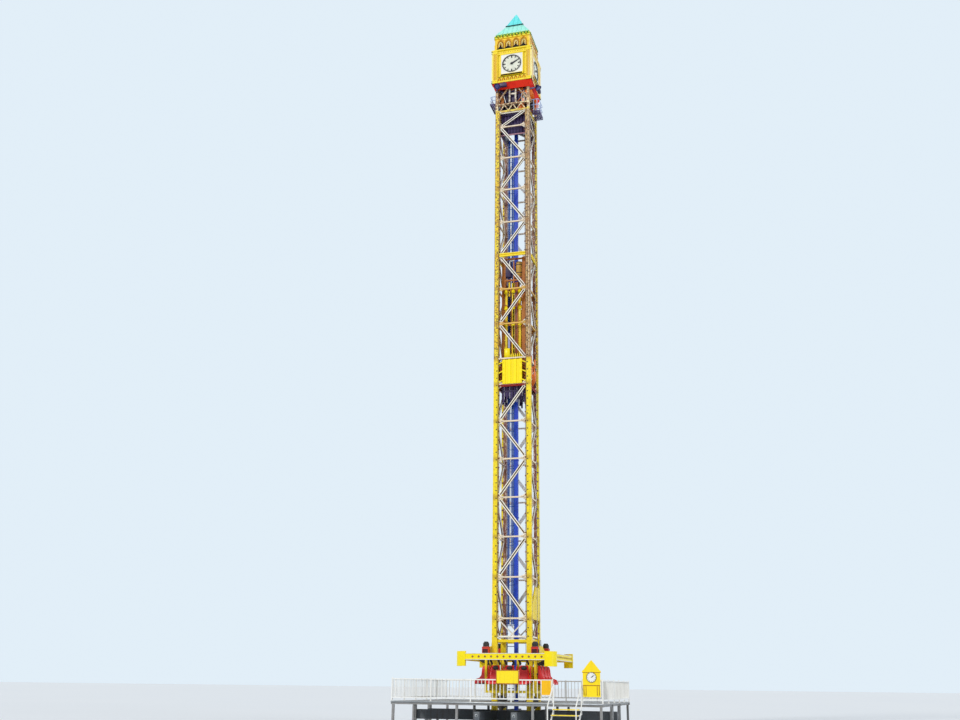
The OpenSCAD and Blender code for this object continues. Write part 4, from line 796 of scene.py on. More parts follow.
def make_finishes(colours, sizes):
    """All finishes of the tower, by a maker's name."""
    return {"mast": mast_paint(colours),
            "yellow": paint("yellow_paint", colours.column_low, streaks=0.28, chips=0.5, coat=0.08),
            "cream": paint("cream_paint", colours.bar, streaks=0.3, chips=0.6),
            "cover": paint(
                "cover_paint", colours.panel, faded=(0.95, 0.80, 0.01), fading=0.3, streaks=0.12, grime=0.08,
                chips=0.15, gloss=0.38, coat=0.1, specular=0.25),
            "ochre": paint(
                "ochre_paint", colours.ochre, faded=(0.54, 0.20, 0.02), dirt=(0.05, 0.012, 0.006),
                streaks=0.6, grime=0.45, chips=0.8, under=(0.75, 0.55, 0.05)),
            "pole": paint(
                "pole_paint", colours.pole, faded=(0.03, 0.12, 0.66), dirt=(0.015, 0.02, 0.06), streaks=0.3,
                grime=0.3, chips=0.3, coat=0.2),
            "ladder": paint(
                "ladder_paint", (0.04, 0.15, 0.62), faded=(0.16, 0.32, 0.70), dirt=(0.02, 0.03, 0.08),
                chips=0.8, under=(0.45, 0.45, 0.44)),
            "pale_blue": paint(
                "pale_blue_paint", (0.34, 0.36, 0.62), faded=(0.48, 0.48, 0.66), streaks=0.3, chips=0.4),
            "vessel": paint(
                "vessel_paint", (0.58, 0.33, 0.05), faded=(0.64, 0.42, 0.12), dirt=(0.06, 0.02, 0.01),
                streaks=0.4, grime=0.3, chips=0.3, coat=0.2),
            "red": paint(
                "deep_red_paint", colours.deep_red, faded=(0.76, 0.05, 0.01), dirt=(0.12, 0.005, 0.005),
                streaks=0.3, chips=0.3, gloss=0.6, specular=0.15),
            "dark": paint(
                "dark_paint", (0.022, 0.020, 0.030), faded=(0.06, 0.05, 0.07), dirt=(0.09, 0.055, 0.03),
                streaks=0.25, chips=0.4, gloss=0.45),
            # Dark violet: blue paint with painted shade mixed in, so the boxes, tubes and linings it covers look
            # shaded
            "violet": paint(
                "violet_shade_paint", (0.035, 0.022, 0.075), faded=(0.09, 0.06, 0.15), dirt=(0.05, 0.025, 0.02),
                streaks=0.3, chips=0.5, gloss=0.42),
            "machine": paint(
                "machine_paint", colours.machine, faded=(0.82, 0.24, 0.03), dirt=(0.06, 0.012, 0.008),
                streaks=0.4, grime=0.35, chips=0.5),
            "rail": paint(
                "rail_paint", (0.42, 0.54, 0.84), faded=(0.58, 0.66, 0.88), dirt=(0.05, 0.05, 0.16),
                streaks=0.35, grime=0.3, chips=0.5, under=(0.05, 0.06, 0.20)), "head": head_paint(),
            "floor_red": paint(
                "floor_red_paint", (0.34, 0.012, 0.010), faded=(0.42, 0.04, 0.03), dirt=(0.05, 0.01, 0.01),
                streaks=0.3, grime=0.35, chips=0.5), "house": house_paint(colours),
            "orange": paint(
                "orange_paint", (0.90, 0.40, 0.012), faded=(0.92, 0.52, 0.03), streaks=0.25, chips=0.2),
            "brown": paint(
                "brown_paint", (0.36, 0.10, 0.010), faded=(0.48, 0.17, 0.015), streaks=0.3, chips=0.2),
            "dial": dial_paint(sizes),
            "black": paint(
                "black_paint", (0.012, 0.012, 0.016), faded=(0.05, 0.05, 0.055), dirt=(0.08, 0.07, 0.06),
                streaks=0.1, grime=0.1, chips=0.1, gloss=0.32, coat=0.3, bump=0.2),
            "roof": roof_paint(colours),
            # Near-black teal of the strip at the roof's break: a painted shadow of the upper part's edge
            "roof_break_shadow": paint(
                "roof_break_shadow_paint", (0.008, 0.05, 0.05), faded=(0.02, 0.10, 0.10), dirt=(0.01, 0.03, 0.03),
                streaks=0.2, chips=0.2),
            "base": paint(
                "base_paint", (0.10, 0.12, 0.14), faded=(0.22, 0.23, 0.24), dirt=(0.10, 0.07, 0.05),
                streaks=0.35, grime=0.5, chips=0.8, gloss=0.5),
            "white": paint(
                "white_paint", (0.84, 0.85, 0.83), faded=(0.72, 0.72, 0.68), dirt=(0.20, 0.16, 0.12),
                under=(0.25, 0.12, 0.06), streaks=0.22, grime=0.18, chips=0.6, gloss=0.34, coat=0.2),
            "sign": paint(
                "sign_paint", (0.96, 0.70, 0.006), faded=(0.95, 0.78, 0.02), streaks=0.14, grime=0.12,
                chips=0.15, coat=0.1, gloss=0.38, specular=0.25),
            "board": paint(
                "board_paint", (0.92, 0.50, 0.006), faded=(0.92, 0.58, 0.02), streaks=0.15, grime=0.12,
                chips=0.2, coat=0.1, gloss=0.38, specular=0.25),
            "housing": paint(
                "housing_paint", (0.60, 0.020, 0.012), faded=(0.66, 0.09, 0.04), dirt=(0.07, 0.02, 0.015),
                streaks=0.3, chips=0.5, coat=0.25),
            "galvanised": metal("galvanised_steel", (0.52, 0.54, 0.55), rough=0.45, soil=0.35),
            "tread": tread_metal(), "rope": strand_steel(),
            "sheave": metal(
                "sheave_steel", (0.16, 0.16, 0.17), rough=0.42, soil=0.6, dirt=(0.04, 0.03, 0.02)),
            "bolt": metal("bolt_steel", (0.34, 0.33, 0.31), rough=0.38, soil=0.6, dirt=(0.12, 0.06, 0.03)),
            "shell": moulded(
                "seat_shell_plastic", colours.seat, rough=0.3, grain=420.0, depth=0.12, coat=0.25,
                scuff=(0.70, 0.10, 0.08), wear=0.2),
            "vinyl": moulded(
                "seat_vinyl", (0.60, 0.010, 0.016), rough=0.45, grain=300.0, depth=0.4,
                scuff=(0.72, 0.09, 0.08), wear=0.3),
            "jet": paint(
                "jet_paint", (0.006, 0.006, 0.008), faded=(0.015, 0.012, 0.012), dirt=(0.05, 0.02, 0.01),
                streaks=0.1, grime=0.1, chips=0.05, gloss=0.55, specular=0.1, bump=0.2),
            "leaf": paint(
                "leaf_paint", (0.02, 0.20, 0.03), faded=(0.05, 0.26, 0.05), dirt=(0.01, 0.03, 0.01),
                streaks=0.2, chips=0.1, gloss=0.55, specular=0.15),
            "louvre": paint(
                "louvre_paint", (0.95, 0.62, 0.06), faded=(0.96, 0.74, 0.22), streaks=0.25, chips=0.2),
            "rail_dark": paint(
                "rib_paint", (0.10, 0.07, 0.20), faded=(0.20, 0.15, 0.32), dirt=(0.05, 0.02, 0.03),
                streaks=0.35, grime=0.3, chips=0.4),
            "pale_gold": paint(
                "pale_gold_paint", (0.97, 0.84, 0.34), faded=(0.97, 0.90, 0.55), streaks=0.2, chips=0.2),
            "worn_yellow": paint(
                "worn_yellow_paint", (0.90, 0.62, 0.015), faded=(0.94, 0.76, 0.08), dirt=(0.12, 0.035, 0.01),
                under=(0.28, 0.08, 0.02), streaks=0.6, grime=0.6, chips=0.9),
            "mauve": paint(
                "mauve_paint", (0.42, 0.21, 0.27), faded=(0.55, 0.34, 0.38), dirt=(0.10, 0.03, 0.03),
                streaks=0.35, grime=0.3, chips=0.4),
            "foam": moulded(
                "foam_skin", (0.022, 0.022, 0.024), rough=0.5, grain=260.0, depth=0.5,
                scuff=(0.12, 0.12, 0.12), wear=0.5),
            "rubber": moulded(
                "buffer_rubber", (0.018, 0.018, 0.019), rough=0.62, grain=120.0, depth=0.4,
                scuff=(0.16, 0.14, 0.12), wear=0.6),
            "tread_wheel": moulded(
                "wheel_tread", (0.16, 0.16, 0.17), rough=0.55, grain=150.0, depth=0.3, wear=0.5),
            "amber": moulded(
                "amber_lens", (0.42, 0.10, 0.012), rough=0.18, grain=60.0, depth=0.5, coat=0.6,
                scuff=(0.7, 0.4, 0.1), wear=0.3),
            "lens": moulded(
                "lamp_lens", (0.035, 0.045, 0.26), rough=0.15, grain=45.0, depth=0.8, coat=0.6, wear=0.1),
            "lamp_blue": paint(
                "lamp_housing_paint", (0.010, 0.010, 0.10), faded=(0.03, 0.03, 0.18), streaks=0.15, chips=0.2,
                coat=0.4, gloss=0.25)}


CAD_FINISH = {"mast": ["lower_front", "lower_rear", "lower_left", "lower_right", "upper_front", "upper_rear",
                       "upper_left", "upper_right"],
              "yellow": ["mast_foot", "erection_plate", "heavy_beam", "car_front", "car_rear", "car_left",
                         "car_right"], "cover": ["joint_panels", "canopy"], "ochre": ["inner_frame"],
              "head": ["head_frame"], "pole": ["blue_pole"], "ladder": ["ladder"], "red": ["soffit"],
              "floor_red": ["joint_platform"], "rope": ["hoist_ropes"],
              "sheave": ["foot_sheaves", "head_sheaves"], "violet": ["top_platform"],
              "machine": ["head_drive"], "galvanised": ["jacks"], "rail": ["service_balconies"],
              "lamp_blue": ["floodlights"], "house": ["house_walls", "pilasters", "belfry"],
              "dial": ["dials"], "black": ["clock_hands"], "roof": ["cornice", "roof"],
              "base": ["base_frame"], "tread": ["deck_front", "deck_rear", "deck_left", "deck_right"],
              "white": ["steps", "fence_front_left", "fence_front_right", "fence_left", "fence_right",
                        "fence_rear"], "sign": ["clock_sign", "notice_board"], "board": ["rule_board"],
              "housing": ["corner_housings"], "rubber": ["buffers"], "tread_wheel": ["guide_rollers"],
              "shell": ["seats_front", "seats_rear", "seats_left", "seats_right"], "foam": ["restraints"]}


def bolt_heads(centres, radius, height):
    """Six-sided bolt heads with a chamfer, drawn as (right, up, out)."""
    head = lathe([(radius, 0), (radius, height * 0.75), (radius * 0.8, height)], 6)
    return placed(head, centres)


# Turns a shape drawn as (right, up, out) so that it looks to +x
ACROSS = np.array([[0, 0, 1.0], [1, 0, 0], [0, 1, 0]])


def upright(strips, back, front):
    """Upright blocks given as (middle, foot, head, width), all from back to front."""
    return blocks([[u - width / 2, foot, back] for u, foot, head, width in strips],
                  [[u + width / 2, head, front] for u, foot, head, width in strips])


def spaced(low, high, pitch):
    """Evenly spaced numbers from low to high, no further apart than the pitch."""
    return np.linspace(low, high, max(2, int(np.ceil((high - low) / pitch)) + 1))


class DressOperator(bpy.types.Operator):
    """Base of the operators that add the tower's pieces."""
    bl_options = {"REGISTER", "UNDO"}

    def execute(self, context):
        self.make(context.scene.tower_sizes)
        return {"FINISHED"}


class TOWER_OT_finishes(DressOperator):
    """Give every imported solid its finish"""
    bl_idname = "tower.finishes"
    bl_label = "Paint the solids"

    def make(self, sizes):
        FINISH.update(make_finishes(bpy.context.scene.tower_colours, sizes))
        for finish, nodes in CAD_FINISH.items():
            for node in nodes:
                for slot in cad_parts[node].material_slots:
                    slot.material = FINISH[finish]
        bare = set(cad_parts) - {node for nodes in CAD_FINISH.values() for node in nodes}
        if bare:
            raise RuntimeError(f"solids with no finish: {sorted(bare)}")


class TOWER_OT_column_lamps(DressOperator):
    """Cap lamps on the inner faces of the columns, from the foot to the clock house"""
    bl_idname = "tower.column_lamps"
    bl_label = "Column lamps"

    def make(self, sizes):
        r = sizes.lamp_radius
        base = lathe([(r, -0.002), (r, 0.022), (r * 0.8, 0.028)], 10)
        dome = lathe([(r * 0.68, 0.026), (r * 0.74, 0.040), (r * 0.6, 0.056), (r * 0.3, 0.064)], 10)
        heights = np.concatenate([
            spaced(FOOT_FLANGE + 0.25, JOINT_LOW - 0.1, sizes.lamp_pitch),
            spaced(JOINT_TOP + 0.2, MAST_TOP - 0.25, sizes.lamp_pitch)])
        spots = rows(-MAST + 0.045, heights, 0)

        def both_columns(shape):
            """Draws a shape on the left column's face that looks to +x, then turns it into place on all sides."""
            points, faces = placed(shape, spots)
            left = (points @ ACROSS.T + np.array([-COLUMN_IN, 0, 0]), faces)
            return on_sides(mirrored(left))

        piece("lamp_bases", both_columns(base), "dark_steel", "dark", smooth=True)
        piece("lamp_domes", both_columns(dome), "drive_orange", "amber", smooth=True)


class TOWER_OT_gussets(DressOperator):
    """Gusset plates with bolts where the level bars and diagonals meet the columns"""
    bl_idname = "tower.gussets"
    bl_label = "Gusset plates"

    def make(self, sizes):
        w, h = sizes.gusset_width, sizes.gusset_height
        inner = COLUMN_IN - w
        outline = np.array([
            [inner, -0.05], [inner + 0.07, -0.06], [COLUMN_IN + 0.002, -h / 2], [COLUMN_IN + 0.002, h / 2],
            [inner + 0.07, 0.06], [inner, 0.05]])
        plate = extrude(outline, -0.004, 0.012, axis="z")
        levels = np.concatenate([LOWER_LEVELS, UPPER_LEVELS[1:]])
        out = BAR_FACE
        offsets = rows(0, levels, 0)
        plates = on_sides(on_wall(placed(mirrored(plate), offsets), out))
        piece("gusset_plates", plates, "mast_yellow", "mast", bevel=0.003, bevel_steps=1)
        spots = np.array([
            [inner + 0.045, 0.0], [inner + 0.11, 0.0], [COLUMN_IN - 0.06, h * 0.17],
            [COLUMN_IN - 0.06, -h * 0.17], [COLUMN_IN - 0.035, h * 0.34], [COLUMN_IN - 0.035, -h * 0.34]])
        spots = np.concatenate([spots, spots * np.array([-1, 1])])
        centres = (raised(spots, 0.012)[None] + offsets[:, None]).reshape(-1, 3)
        heads = on_sides(on_wall(bolt_heads(centres, sizes.bolt_radius, 0.014), out))
        piece("gusset_bolts", heads, "rope_steel", "bolt")


class TOWER_OT_flange_bolts(DressOperator):
    """Bolts and nuts on the flanges where the mast's sections meet"""
    bl_idname = "tower.flange_bolts"
    bl_label = "Flange bolts"

    def make(self, sizes):
        inner = MAST - 0.255
        spots = grid(np.array([inner]), np.array([COLUMN_MID - 0.06, COLUMN_MID, COLUMN_MID + 0.06]))
        shapes = []
        for z in (FOOT_FLANGE + 0.03, JOINT_TOP + 0.03, MAST_TOP):
            head = lathe([(0.024, -0.001), (0.024, 0.018), (0.020, 0.022)], 6)
            shapes.append(placed(head, raised(spots, z)))
        for z in (FOOT_FLANGE - 0.03, JOINT_TOP - 0.03):
            nut = lathe([(0.020, -0.024), (0.024, -0.020), (0.024, 0.001)], 6)
            shapes.append(placed(nut, raised(spots, z)))
        piece("flange_bolts", mirrored(mirrored(merge(shapes)), 1), "rope_steel", "bolt")


class TOWER_OT_joint_bay(DressOperator):
    """Dark red sills, latches, brackets and pins round the joint bay"""
    bl_idname = "tower.joint_bay"
    bl_label = "Joint bay"

    def make(self, sizes):
        out = COLUMN_MID + 0.02
        sill = blocks([[-COLUMN_IN - 0.001, JOINT_LOW - 0.10, 0]],
                      [[COLUMN_IN + 0.001, JOINT_LOW - 0.034, 0.055]])
        lips = blocks([[-COLUMN_IN - 0.001, JOINT_LOW - 0.045, 0.05]],
                      [[COLUMN_IN + 0.001, JOINT_LOW - 0.025, 0.09]])
        wall_piece("joint_sills", merge([sill, lips]), out - 0.03, "dark_red", "floor_red", bevel=0.004)
        # Zigzag lacing between the covers and the columns, front and rear
        z = np.linspace(JOINT_LOW + 0.06, JOINT_TOP - 0.06, 8)
        u = np.where(np.arange(8) % 2, COVER_HALF + 0.03, COLUMN_IN)
        start = rows(u[:-1], z[:-1], 0)
        end = rows(u[1:], z[1:], 0)
        lacing = mirrored(bars(start, end, (0, 0, 1), 0.035, -0.012, 0.012))
        wall_piece("joint_lacing", lacing, COLUMN_MID - 0.03, "frame_ochre", "brown", sides=(0, 180))
        # Latches along the covers' edges
        heights = np.linspace(JOINT_LOW + 0.14, COVER_TOP - 0.14, 4)
        body = merge([extrude(rounded_outline(0.035, 0.05, 0.015), 0, 0.014, axis="z"),
                      lathe([(0.016, 0.012), (0.016, 0.03), (0.008, 0.034)], 12),
                      blocks([[-0.008, -0.004, 0.026]], [[0.008, 0.06, 0.036]])])
        latches = mirrored(placed(body, rows(COVER_HALF - 0.045, heights, 0)))
        wall_piece("cover_latches", latches, COVER_FACE, "panel_yellow", "cover", sides=(0, 180), smooth=True)
        # Hinge brackets and pins on the right and left sides, where the mast folds for the road
        cheek = extrude(np.array([[-0.20, -0.62], [0.20, -0.62], [0.26, -0.18], [0.12, 0.05], [0.12, 0.42],
                                  [-0.12, 0.42], [-0.12, 0.05], [-0.26, -0.18]]), -0.002, 0.024, axis="z")
        centre_z = JOINT_TOP - 0.20
        offsets = [[-0.37, centre_z, 0.0], [0.37, centre_z, 0.0]]
        cheeks = placed(cheek, offsets)
        pins = placed(lathe([(0.075, 0.0), (0.075, 0.046), (0.055, 0.052), (0.03, 0.052), (0.03, 0.07)], 24),
                      [[-0.37, centre_z - 0.06, 0.02], [0.37, centre_z - 0.06, 0.02]])
        wall_piece("hinge_cheeks", cheeks, BAR_FACE, "drive_orange", "machine", sides=(90, 270), bevel=0.004)
        wall_piece("hinge_pins", pins, BAR_FACE, "rope_steel", "bolt", sides=(90, 270), smooth=True)
        lug_top = np.array([
            [JOINT_TOP - 0.30, 0.60], [JOINT_TOP + 0.02, 0.60], [JOINT_TOP + 0.02, 0.64],
            [JOINT_TOP - 0.24, 0.83], [JOINT_TOP - 0.30, 0.83]])
        lug_low = np.array([
            [JOINT_LOW + 0.10, 0.60], [JOINT_LOW + 0.78, 0.60], [JOINT_LOW + 0.62, 0.72],
            [JOINT_LOW + 0.56, 0.83], [JOINT_LOW + 0.28, 0.83], [JOINT_LOW + 0.10, 0.74]])
        lugs = merge([extrude(outline, at - 0.014, at + 0.014, axis="x")
        for outline in (lug_top, lug_low) for at in (-0.14, 0.14)])
        wall_piece("hinge_lugs", lugs, 0.0, "drive_orange", "machine", sides=(90, 270), bevel=0.004)
        # Guide tubes under the joint's floor: straight, capped and of uneven length, in a clamp on each side
        for finish, slot_name, radius, shift in (
                ("violet", "dark_steel", 0.042, 0.0), ("rail_dark", "dark_steel", 0.024, 0.055),
                ("white", "white_paint", 0.010, 0.078)):
            at = np.arange(9) * 0.118 - 0.50 + shift
            at = at + 0.018 * np.sin(at * 31.0)
            drop = 0.50 + 0.30 * np.sin(at * 7.0 + radius * 60) ** 2
            tubes = [sweep(np.array([[u, JOINT_LOW - 0.06, 0], [u, JOINT_LOW - length, 0]]), radius, 8) for u,
                     length in zip(at, drop)]
            wall_piece(f"joint_tubes_{finish}", merge(tubes), 0.53, slot_name, finish, smooth=True)
        clamp = blocks([[-0.56, JOINT_LOW - 0.30, -0.05]], [[0.56, JOINT_LOW - 0.25, 0.05]])
        wall_piece("joint_tube_clamps", clamp, 0.53, "dark_steel", "violet", bevel=0.004)


class TOWER_OT_inner_equipment(DressOperator):
    """Guides, strips, boxes and an air vessel on the inner frame above the joint"""
    bl_idname = "tower.inner_equipment"
    bl_label = "Inner equipment"

    def make(self, sizes):
        face = 0.56
        low, high = JOINT_LOW + 0.15, INNER_TOP - 0.1
        strips = [(-0.36, low + 0.9, high - 1.5, 0.13), (-0.02, low + 0.8, high - 1.25, 0.13),
                  (0.29, low + 0.8, high - 1.7, 0.12), (-0.21, high - 1.9, high - 1.2, 0.07)]
        strip_blocks = upright(strips, -0.015, 0.012)
        ribs = [(u, z, z + 0.03, w + 0.012) for u, a, b, w in strips for z in np.arange(a + 0.1, b, 0.33)]
        ribs = upright(ribs, -0.01, 0.018)
        wall_piece("guide_strips", merge([strip_blocks, ribs]), face - 0.03, "panel_yellow", "worn_yellow",
                   bevel=0.003, bevel_steps=1)
        # Brown channels beside the strips
        rails = [(0.095, low, high - 1.2, 0.05), (0.175, low, high - 1.2, 0.08),
                 (0.40, low + 0.6, high - 1.3, 0.06), (-0.115, low + 0.7, high - 2.2, 0.045),
                 (-0.47, low + 0.9, high - 1.4, 0.05)]
        rail_blocks = upright(rails, -0.03, -0.001)
        wall_piece("guide_channels", rail_blocks, face - 0.03, "frame_ochre", "brown", bevel=0.003,
                   bevel_steps=1)
        # Pointed hoods over the strips, at three heights
        path = pointed_arch(0.21, 0.22)
        hood = sweep(raised(path), 0.016, 6)
        cap = extrude(pointed_arch(0.19, 0.20)[::-1], -0.004, 0.006, axis="z")
        at = np.array([[u, z, 0]
        for z in (high - 3.35, high - 2.55, high - 1.75) for u in (-0.36, -0.02, 0.29)])
        wall_piece("guide_hoods", placed(hood, at), face, "frame_ochre", "brown", smooth=True)
        wall_piece("guide_caps", placed(cap, at), face - 0.008, "panel_yellow", "cover")
        # Teeth over the covers: the ends of the counter guides
        u = np.linspace(-0.10, 0.40, 6)
        teeth = extrude(np.array([[-0.035, 0], [0.035, 0], [0.035, 0.10], [0.0, 0.24], [-0.035, 0.10]]),
                        -0.02, 0.02, axis="z")
        row = placed(teeth, rows(u, JOINT_TOP + 0.07, 0))
        plate = blocks([[-0.42, JOINT_TOP + 0.07, -0.02]], [[-0.16, JOINT_TOP + 0.55, 0.02]])
        wall_piece("guide_ends", merge([row, plate]), 0.60, "panel_yellow", "cover", sides=(0, 180),
                   bevel=0.004, bevel_steps=1)
        # Straight trunks and conduits up the mast, just behind the ladder
        low_end, high_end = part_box("ladder")
        middle, behind = (low_end.x + high_end.x) / 2, high_end.y + 0.06
        top = high_end.z - 0.3
        for finish, slot_name, at, radius in (
                ("ladder", "pole_blue", (-0.12, 0.02, 0.10), 0.036),
                ("white", "white_paint", (-0.05, 0.155), 0.010)):
            tubes = [sweep(
                np.array([[middle + u, behind, FOOT_FLANGE + 0.6], [middle + u, behind, top]]), radius, 8,
                up=(0, 1, 0)) for u in at]
            piece(f"mast_conduits_{finish}", merge(tubes), slot_name, finish, smooth=True)
        # Pale blue trays
        tray = blocks([[-0.26, low + 0.9, -0.02]], [[-0.17, low + 2.35, 0.012]])
        wall_piece("inner_trays", tray, face - 0.025, "lamp_blue", "pale_blue", bevel=0.006)
        # Air vessel with domed ends, behind the front side, under the heavy beam
        vessel = lathe([(0.06, 0.0), (0.13, 0.03), (0.165, 0.10), (0.17, 0.14), (0.17, 0.66), (0.165, 0.70),
                        (0.13, 0.77), (0.06, 0.80)], 32)
        hoops = merge([lathe([(0.168, z), (0.178, z + 0.005), (0.178, z + 0.035), (0.168, z + 0.04)], 32)
        for z in (0.18, 0.58)])
        spot = [[0.22, -0.34, INNER_TOP - 1.02]]
        piece("air_vessel", placed(vessel, spot), "frame_ochre", "vessel", smooth=True)
        piece("vessel_hoops", placed(hoops, spot), "dark_steel", "dark", smooth=True)
        holder = blocks([[0.05, -0.50, INNER_TOP - 1.06]], [[0.39, -0.17, INNER_TOP - 1.02]])
        piece("vessel_shelf",
              merge([holder, blocks([[0.02, -0.53, INNER_TOP - 1.08]], [[0.07, -0.17, INNER_TOP - 1.02]])]),
              "frame_ochre", "ochre", bevel=0.004)
        # Switch boxes in deep blue, with a white duct
        box = merge([extrude(rounded_outline(0.17, 0.40, 0.02), -0.16, 0.0, axis="z"),
                     extrude(rounded_outline(0.15, 0.38, 0.02), -0.001, 0.012, axis="z"),
                     blocks([[0.085, -0.06, 0.012]], [[0.10, 0.06, 0.03]])])
        wall_piece("switch_boxes", placed(box, [[-0.30, INNER_TOP - 0.62, 0]]), face - 0.035, "pole_blue",
                   "violet", sides=(0, 180), bevel=0.004)
        path = np.array([[-0.19, -0.50, 0], [-0.19, -0.06, 0], [-0.17, -0.03, 0], [0.04, -0.01, 0]])
        duct = sweep(path + np.array([0, INNER_TOP - 0.2, 0]), 0.028, 10)
        wall_piece("white_ducts", duct, face - 0.01, "white_paint", "white", sides=(0, 180), smooth=True)


class TOWER_OT_head_machinery(DressOperator):
    """Motors, a brake disc, cabinets and ducts in and round the machinery bay"""
    bl_idname = "tower.head_machinery"
    bl_label = "Head machinery"

    def make(self, sizes):
        # Cooling fins, end bells, terminal boxes and bent conduits on the two motors of the right side
        motor_x, motor_z, motor_r = MAST - 0.06, MAST_TOP + 1.025, 0.17
        fins = merge([lathe(
            [(motor_r - 0.004, at), (motor_r + 0.014, at + 0.004), (motor_r + 0.014, at + 0.010),
             (motor_r - 0.004, at + 0.014)], 32, centre=(motor_x, 0.0, motor_z), axis="y")
        for at in np.arange(0.20, 0.56, 0.034)])
        bell = lathe([(motor_r - 0.012, 0.682), (motor_r + 0.006, 0.69), (motor_r + 0.006, 0.72),
                      (0.12, 0.745), (0.05, 0.75)], 32, centre=(motor_x, 0.0, motor_z), axis="y")
        nose = lathe([(0.05, 0.13), (0.085, 0.135), (0.095, 0.165), (0.12, 0.172)], 24,
                     centre=(motor_x, 0.0, motor_z), axis="y")
        cap = blocks([[motor_x - 0.08, 0.30, motor_z + 0.14]], [[motor_x + 0.06, 0.48, motor_z + 0.195]])
        motor_set = merge([fins, bell, nose, cap])
        piece("hoist_motors", mirrored(motor_set, 1), "drive_orange", "machine", smooth=True)
        conduits = [sweep(
            np.array([[motor_x + 0.05, side * 0.36, motor_z + 0.16],
                      [motor_x + 0.14, side * 0.30, motor_z + 0.12],
                      [motor_x + 0.16, side * 0.22, motor_z - 0.02],
                      [motor_x + 0.10, side * 0.17, motor_z - 0.16],
                      [motor_x - 0.02, side * 0.24, motor_z - 0.24]]), 0.016, 8) for side in (-1, 1)]
        piece("motor_conduits", merge(conduits), "dark_steel", "black", smooth=True)
        # Brake disc on the gear case's shaft
        disc = lathe([(0.05, -0.03), (0.05, 0.0), (0.19, 0.0), (0.19, 0.022), (0.05, 0.022), (0.05, 0.06)],
                     40, centre=(0.38, -0.30, MAST_TOP + 0.22), axis="y")
        piece("brake_disc", disc, "rope_steel", "sheave", smooth=True)
        # Control cabinets and ducts in dark violet
        cabinets = merge([
            extrude(rounded_outline(0.16, 0.26, 0.02), -0.14, 0.0, axis="z"),
            extrude(rounded_outline(0.13, 0.23, 0.015), -0.001, 0.012, axis="z")])
        spots = [[-0.42, HOUSE_LOW - 0.66, 0], [0.0, HOUSE_LOW - 0.48, -0.05], [0.36, HOUSE_LOW - 0.74, 0]]
        wall_piece("control_cabinets", placed(cabinets, spots), 0.66, "dark_steel", "violet", sides=(0, 180),
                   bevel=0.004)
        angle = np.linspace(0, pi, 9)
        hoops = []
        for u, top in ((0.50, HOUSE_LOW - 0.45), (0.62, HOUSE_LOW - 0.62)):
            arc = rows(u + 0.05 * np.cos(angle), top + 0.05 * np.sin(angle), 0)
            path = np.concatenate([[[u + 0.05, MAST_TOP + 0.50, 0]], arc, [[u - 0.05, MAST_TOP + 0.50, 0]]])
            hoops.append(sweep(path, 0.017, 8))
        wall_piece("white_pipes", merge(hoops), 0.72, "white_paint", "white", sides=(0, 180), smooth=True)
        # Bent conduits fixed between the legs: height = start + (end - start) t - 4 bow t (1 - t)
        t = np.linspace(0, 1, 15)
        conduits = {"violet": [], "black": [], "brown": [], "white": []}
        for finish, u0, z0, u1, z1, bow, out, radius in (
                ("violet", -0.70, 1.28, 0.10, 1.24, 0.16, 0.74, 0.034),
                ("violet", -0.10, 1.26, 0.70, 1.30, 0.22, 0.73, 0.030),
                ("black", -0.66, 1.16, -0.22, 0.62, 0.05, 0.70, 0.024),
                ("brown", 0.66, 1.20, 0.24, 0.56, 0.06, 0.71, 0.028),
                ("brown", -0.58, 0.52, -0.44, 1.22, -0.04, 0.69, 0.030),
                ("black", 0.46, 0.50, 0.60, 1.10, 0.05, 0.69, 0.026),
                ("white", -0.52, 1.20, -0.36, 0.56, 0.02, 0.735, 0.017),
                ("violet", 0.30, 0.52, 0.34, 1.26, 0.03, 0.68, 0.036),
                ("brown", -0.34, 1.30, 0.34, 1.32, 0.10, 0.76, 0.026),
                ("black", -0.72, 0.80, -0.24, 0.94, 0.08, 0.66, 0.022)):
            path = rows(u0 + (u1 - u0) * t, MAST_TOP + z0 + (z1 - z0) * t - 4 * bow * t * (1 - t),
                        out + 0 * t)
            conduits[finish].append(sweep(path, radius, 7))
        for finish, tubes in conduits.items():
            slot_name = {
                "violet": "dark_steel", "black": "dark_steel", "brown": "frame_ochre", "white": "white_paint"}[
                finish]
            wall_piece(f"head_conduits_{finish}", merge(tubes), 0.0, slot_name, finish, smooth=True)
        # Terminal boxes and lifting beams under the red underside
        for finish, slot_name, low, high in (
                ("violet", "dark_steel", [[-0.30, -0.44, 0.0], [-0.12, -0.98, 0.0], [-0.60, -0.52, 0.0]],
                 [[-0.12, -0.24, 0.09], [0.12, -0.66, 0.08], [-0.44, -0.30, 0.08]]),
                ("brown", "frame_ochre", [[-0.62, -1.02, 0.0], [0.14, -0.52, 0.0]],
                 [[-0.46, -0.70, 0.10], [0.27, -0.34, 0.08]]),
                ("machine", "drive_orange", [[0.32, -0.52, 0.0], [0.46, -1.02, 0.0]],
                 [[0.54, -0.26, 0.10], [0.60, -0.84, 0.10]])):
            low, high = (np.array(corner) + np.array([0, HOUSE_LOW, 0]) for corner in (low, high))
            wall_piece(f"terminal_boxes_{finish}", blocks(low, high), 0.62, slot_name, finish, bevel=0.008)
        beams = blocks([[-0.74, HOUSE_LOW - 0.17, 0.0]], [[0.74, HOUSE_LOW - 0.03, 0.10]])
        wall_piece("underside_beams", beams, 0.60, "dark_steel", "violet", bevel=0.006)
        # Knee plates in the corners of the head frame
        knee = extrude(np.array([[0.52, 0.0], [0.52, -0.04], [0.70, -0.22], [0.73, -0.22], [0.73, 0.0]]),
                       -0.012, 0.012, axis="z")
        knees = on_wall(placed(mirrored(knee), [[0, HOUSE_LOW - 0.12, 0]]), 0.79)
        piece("head_knees", on_sides(knees), "frame_ochre", "ochre")


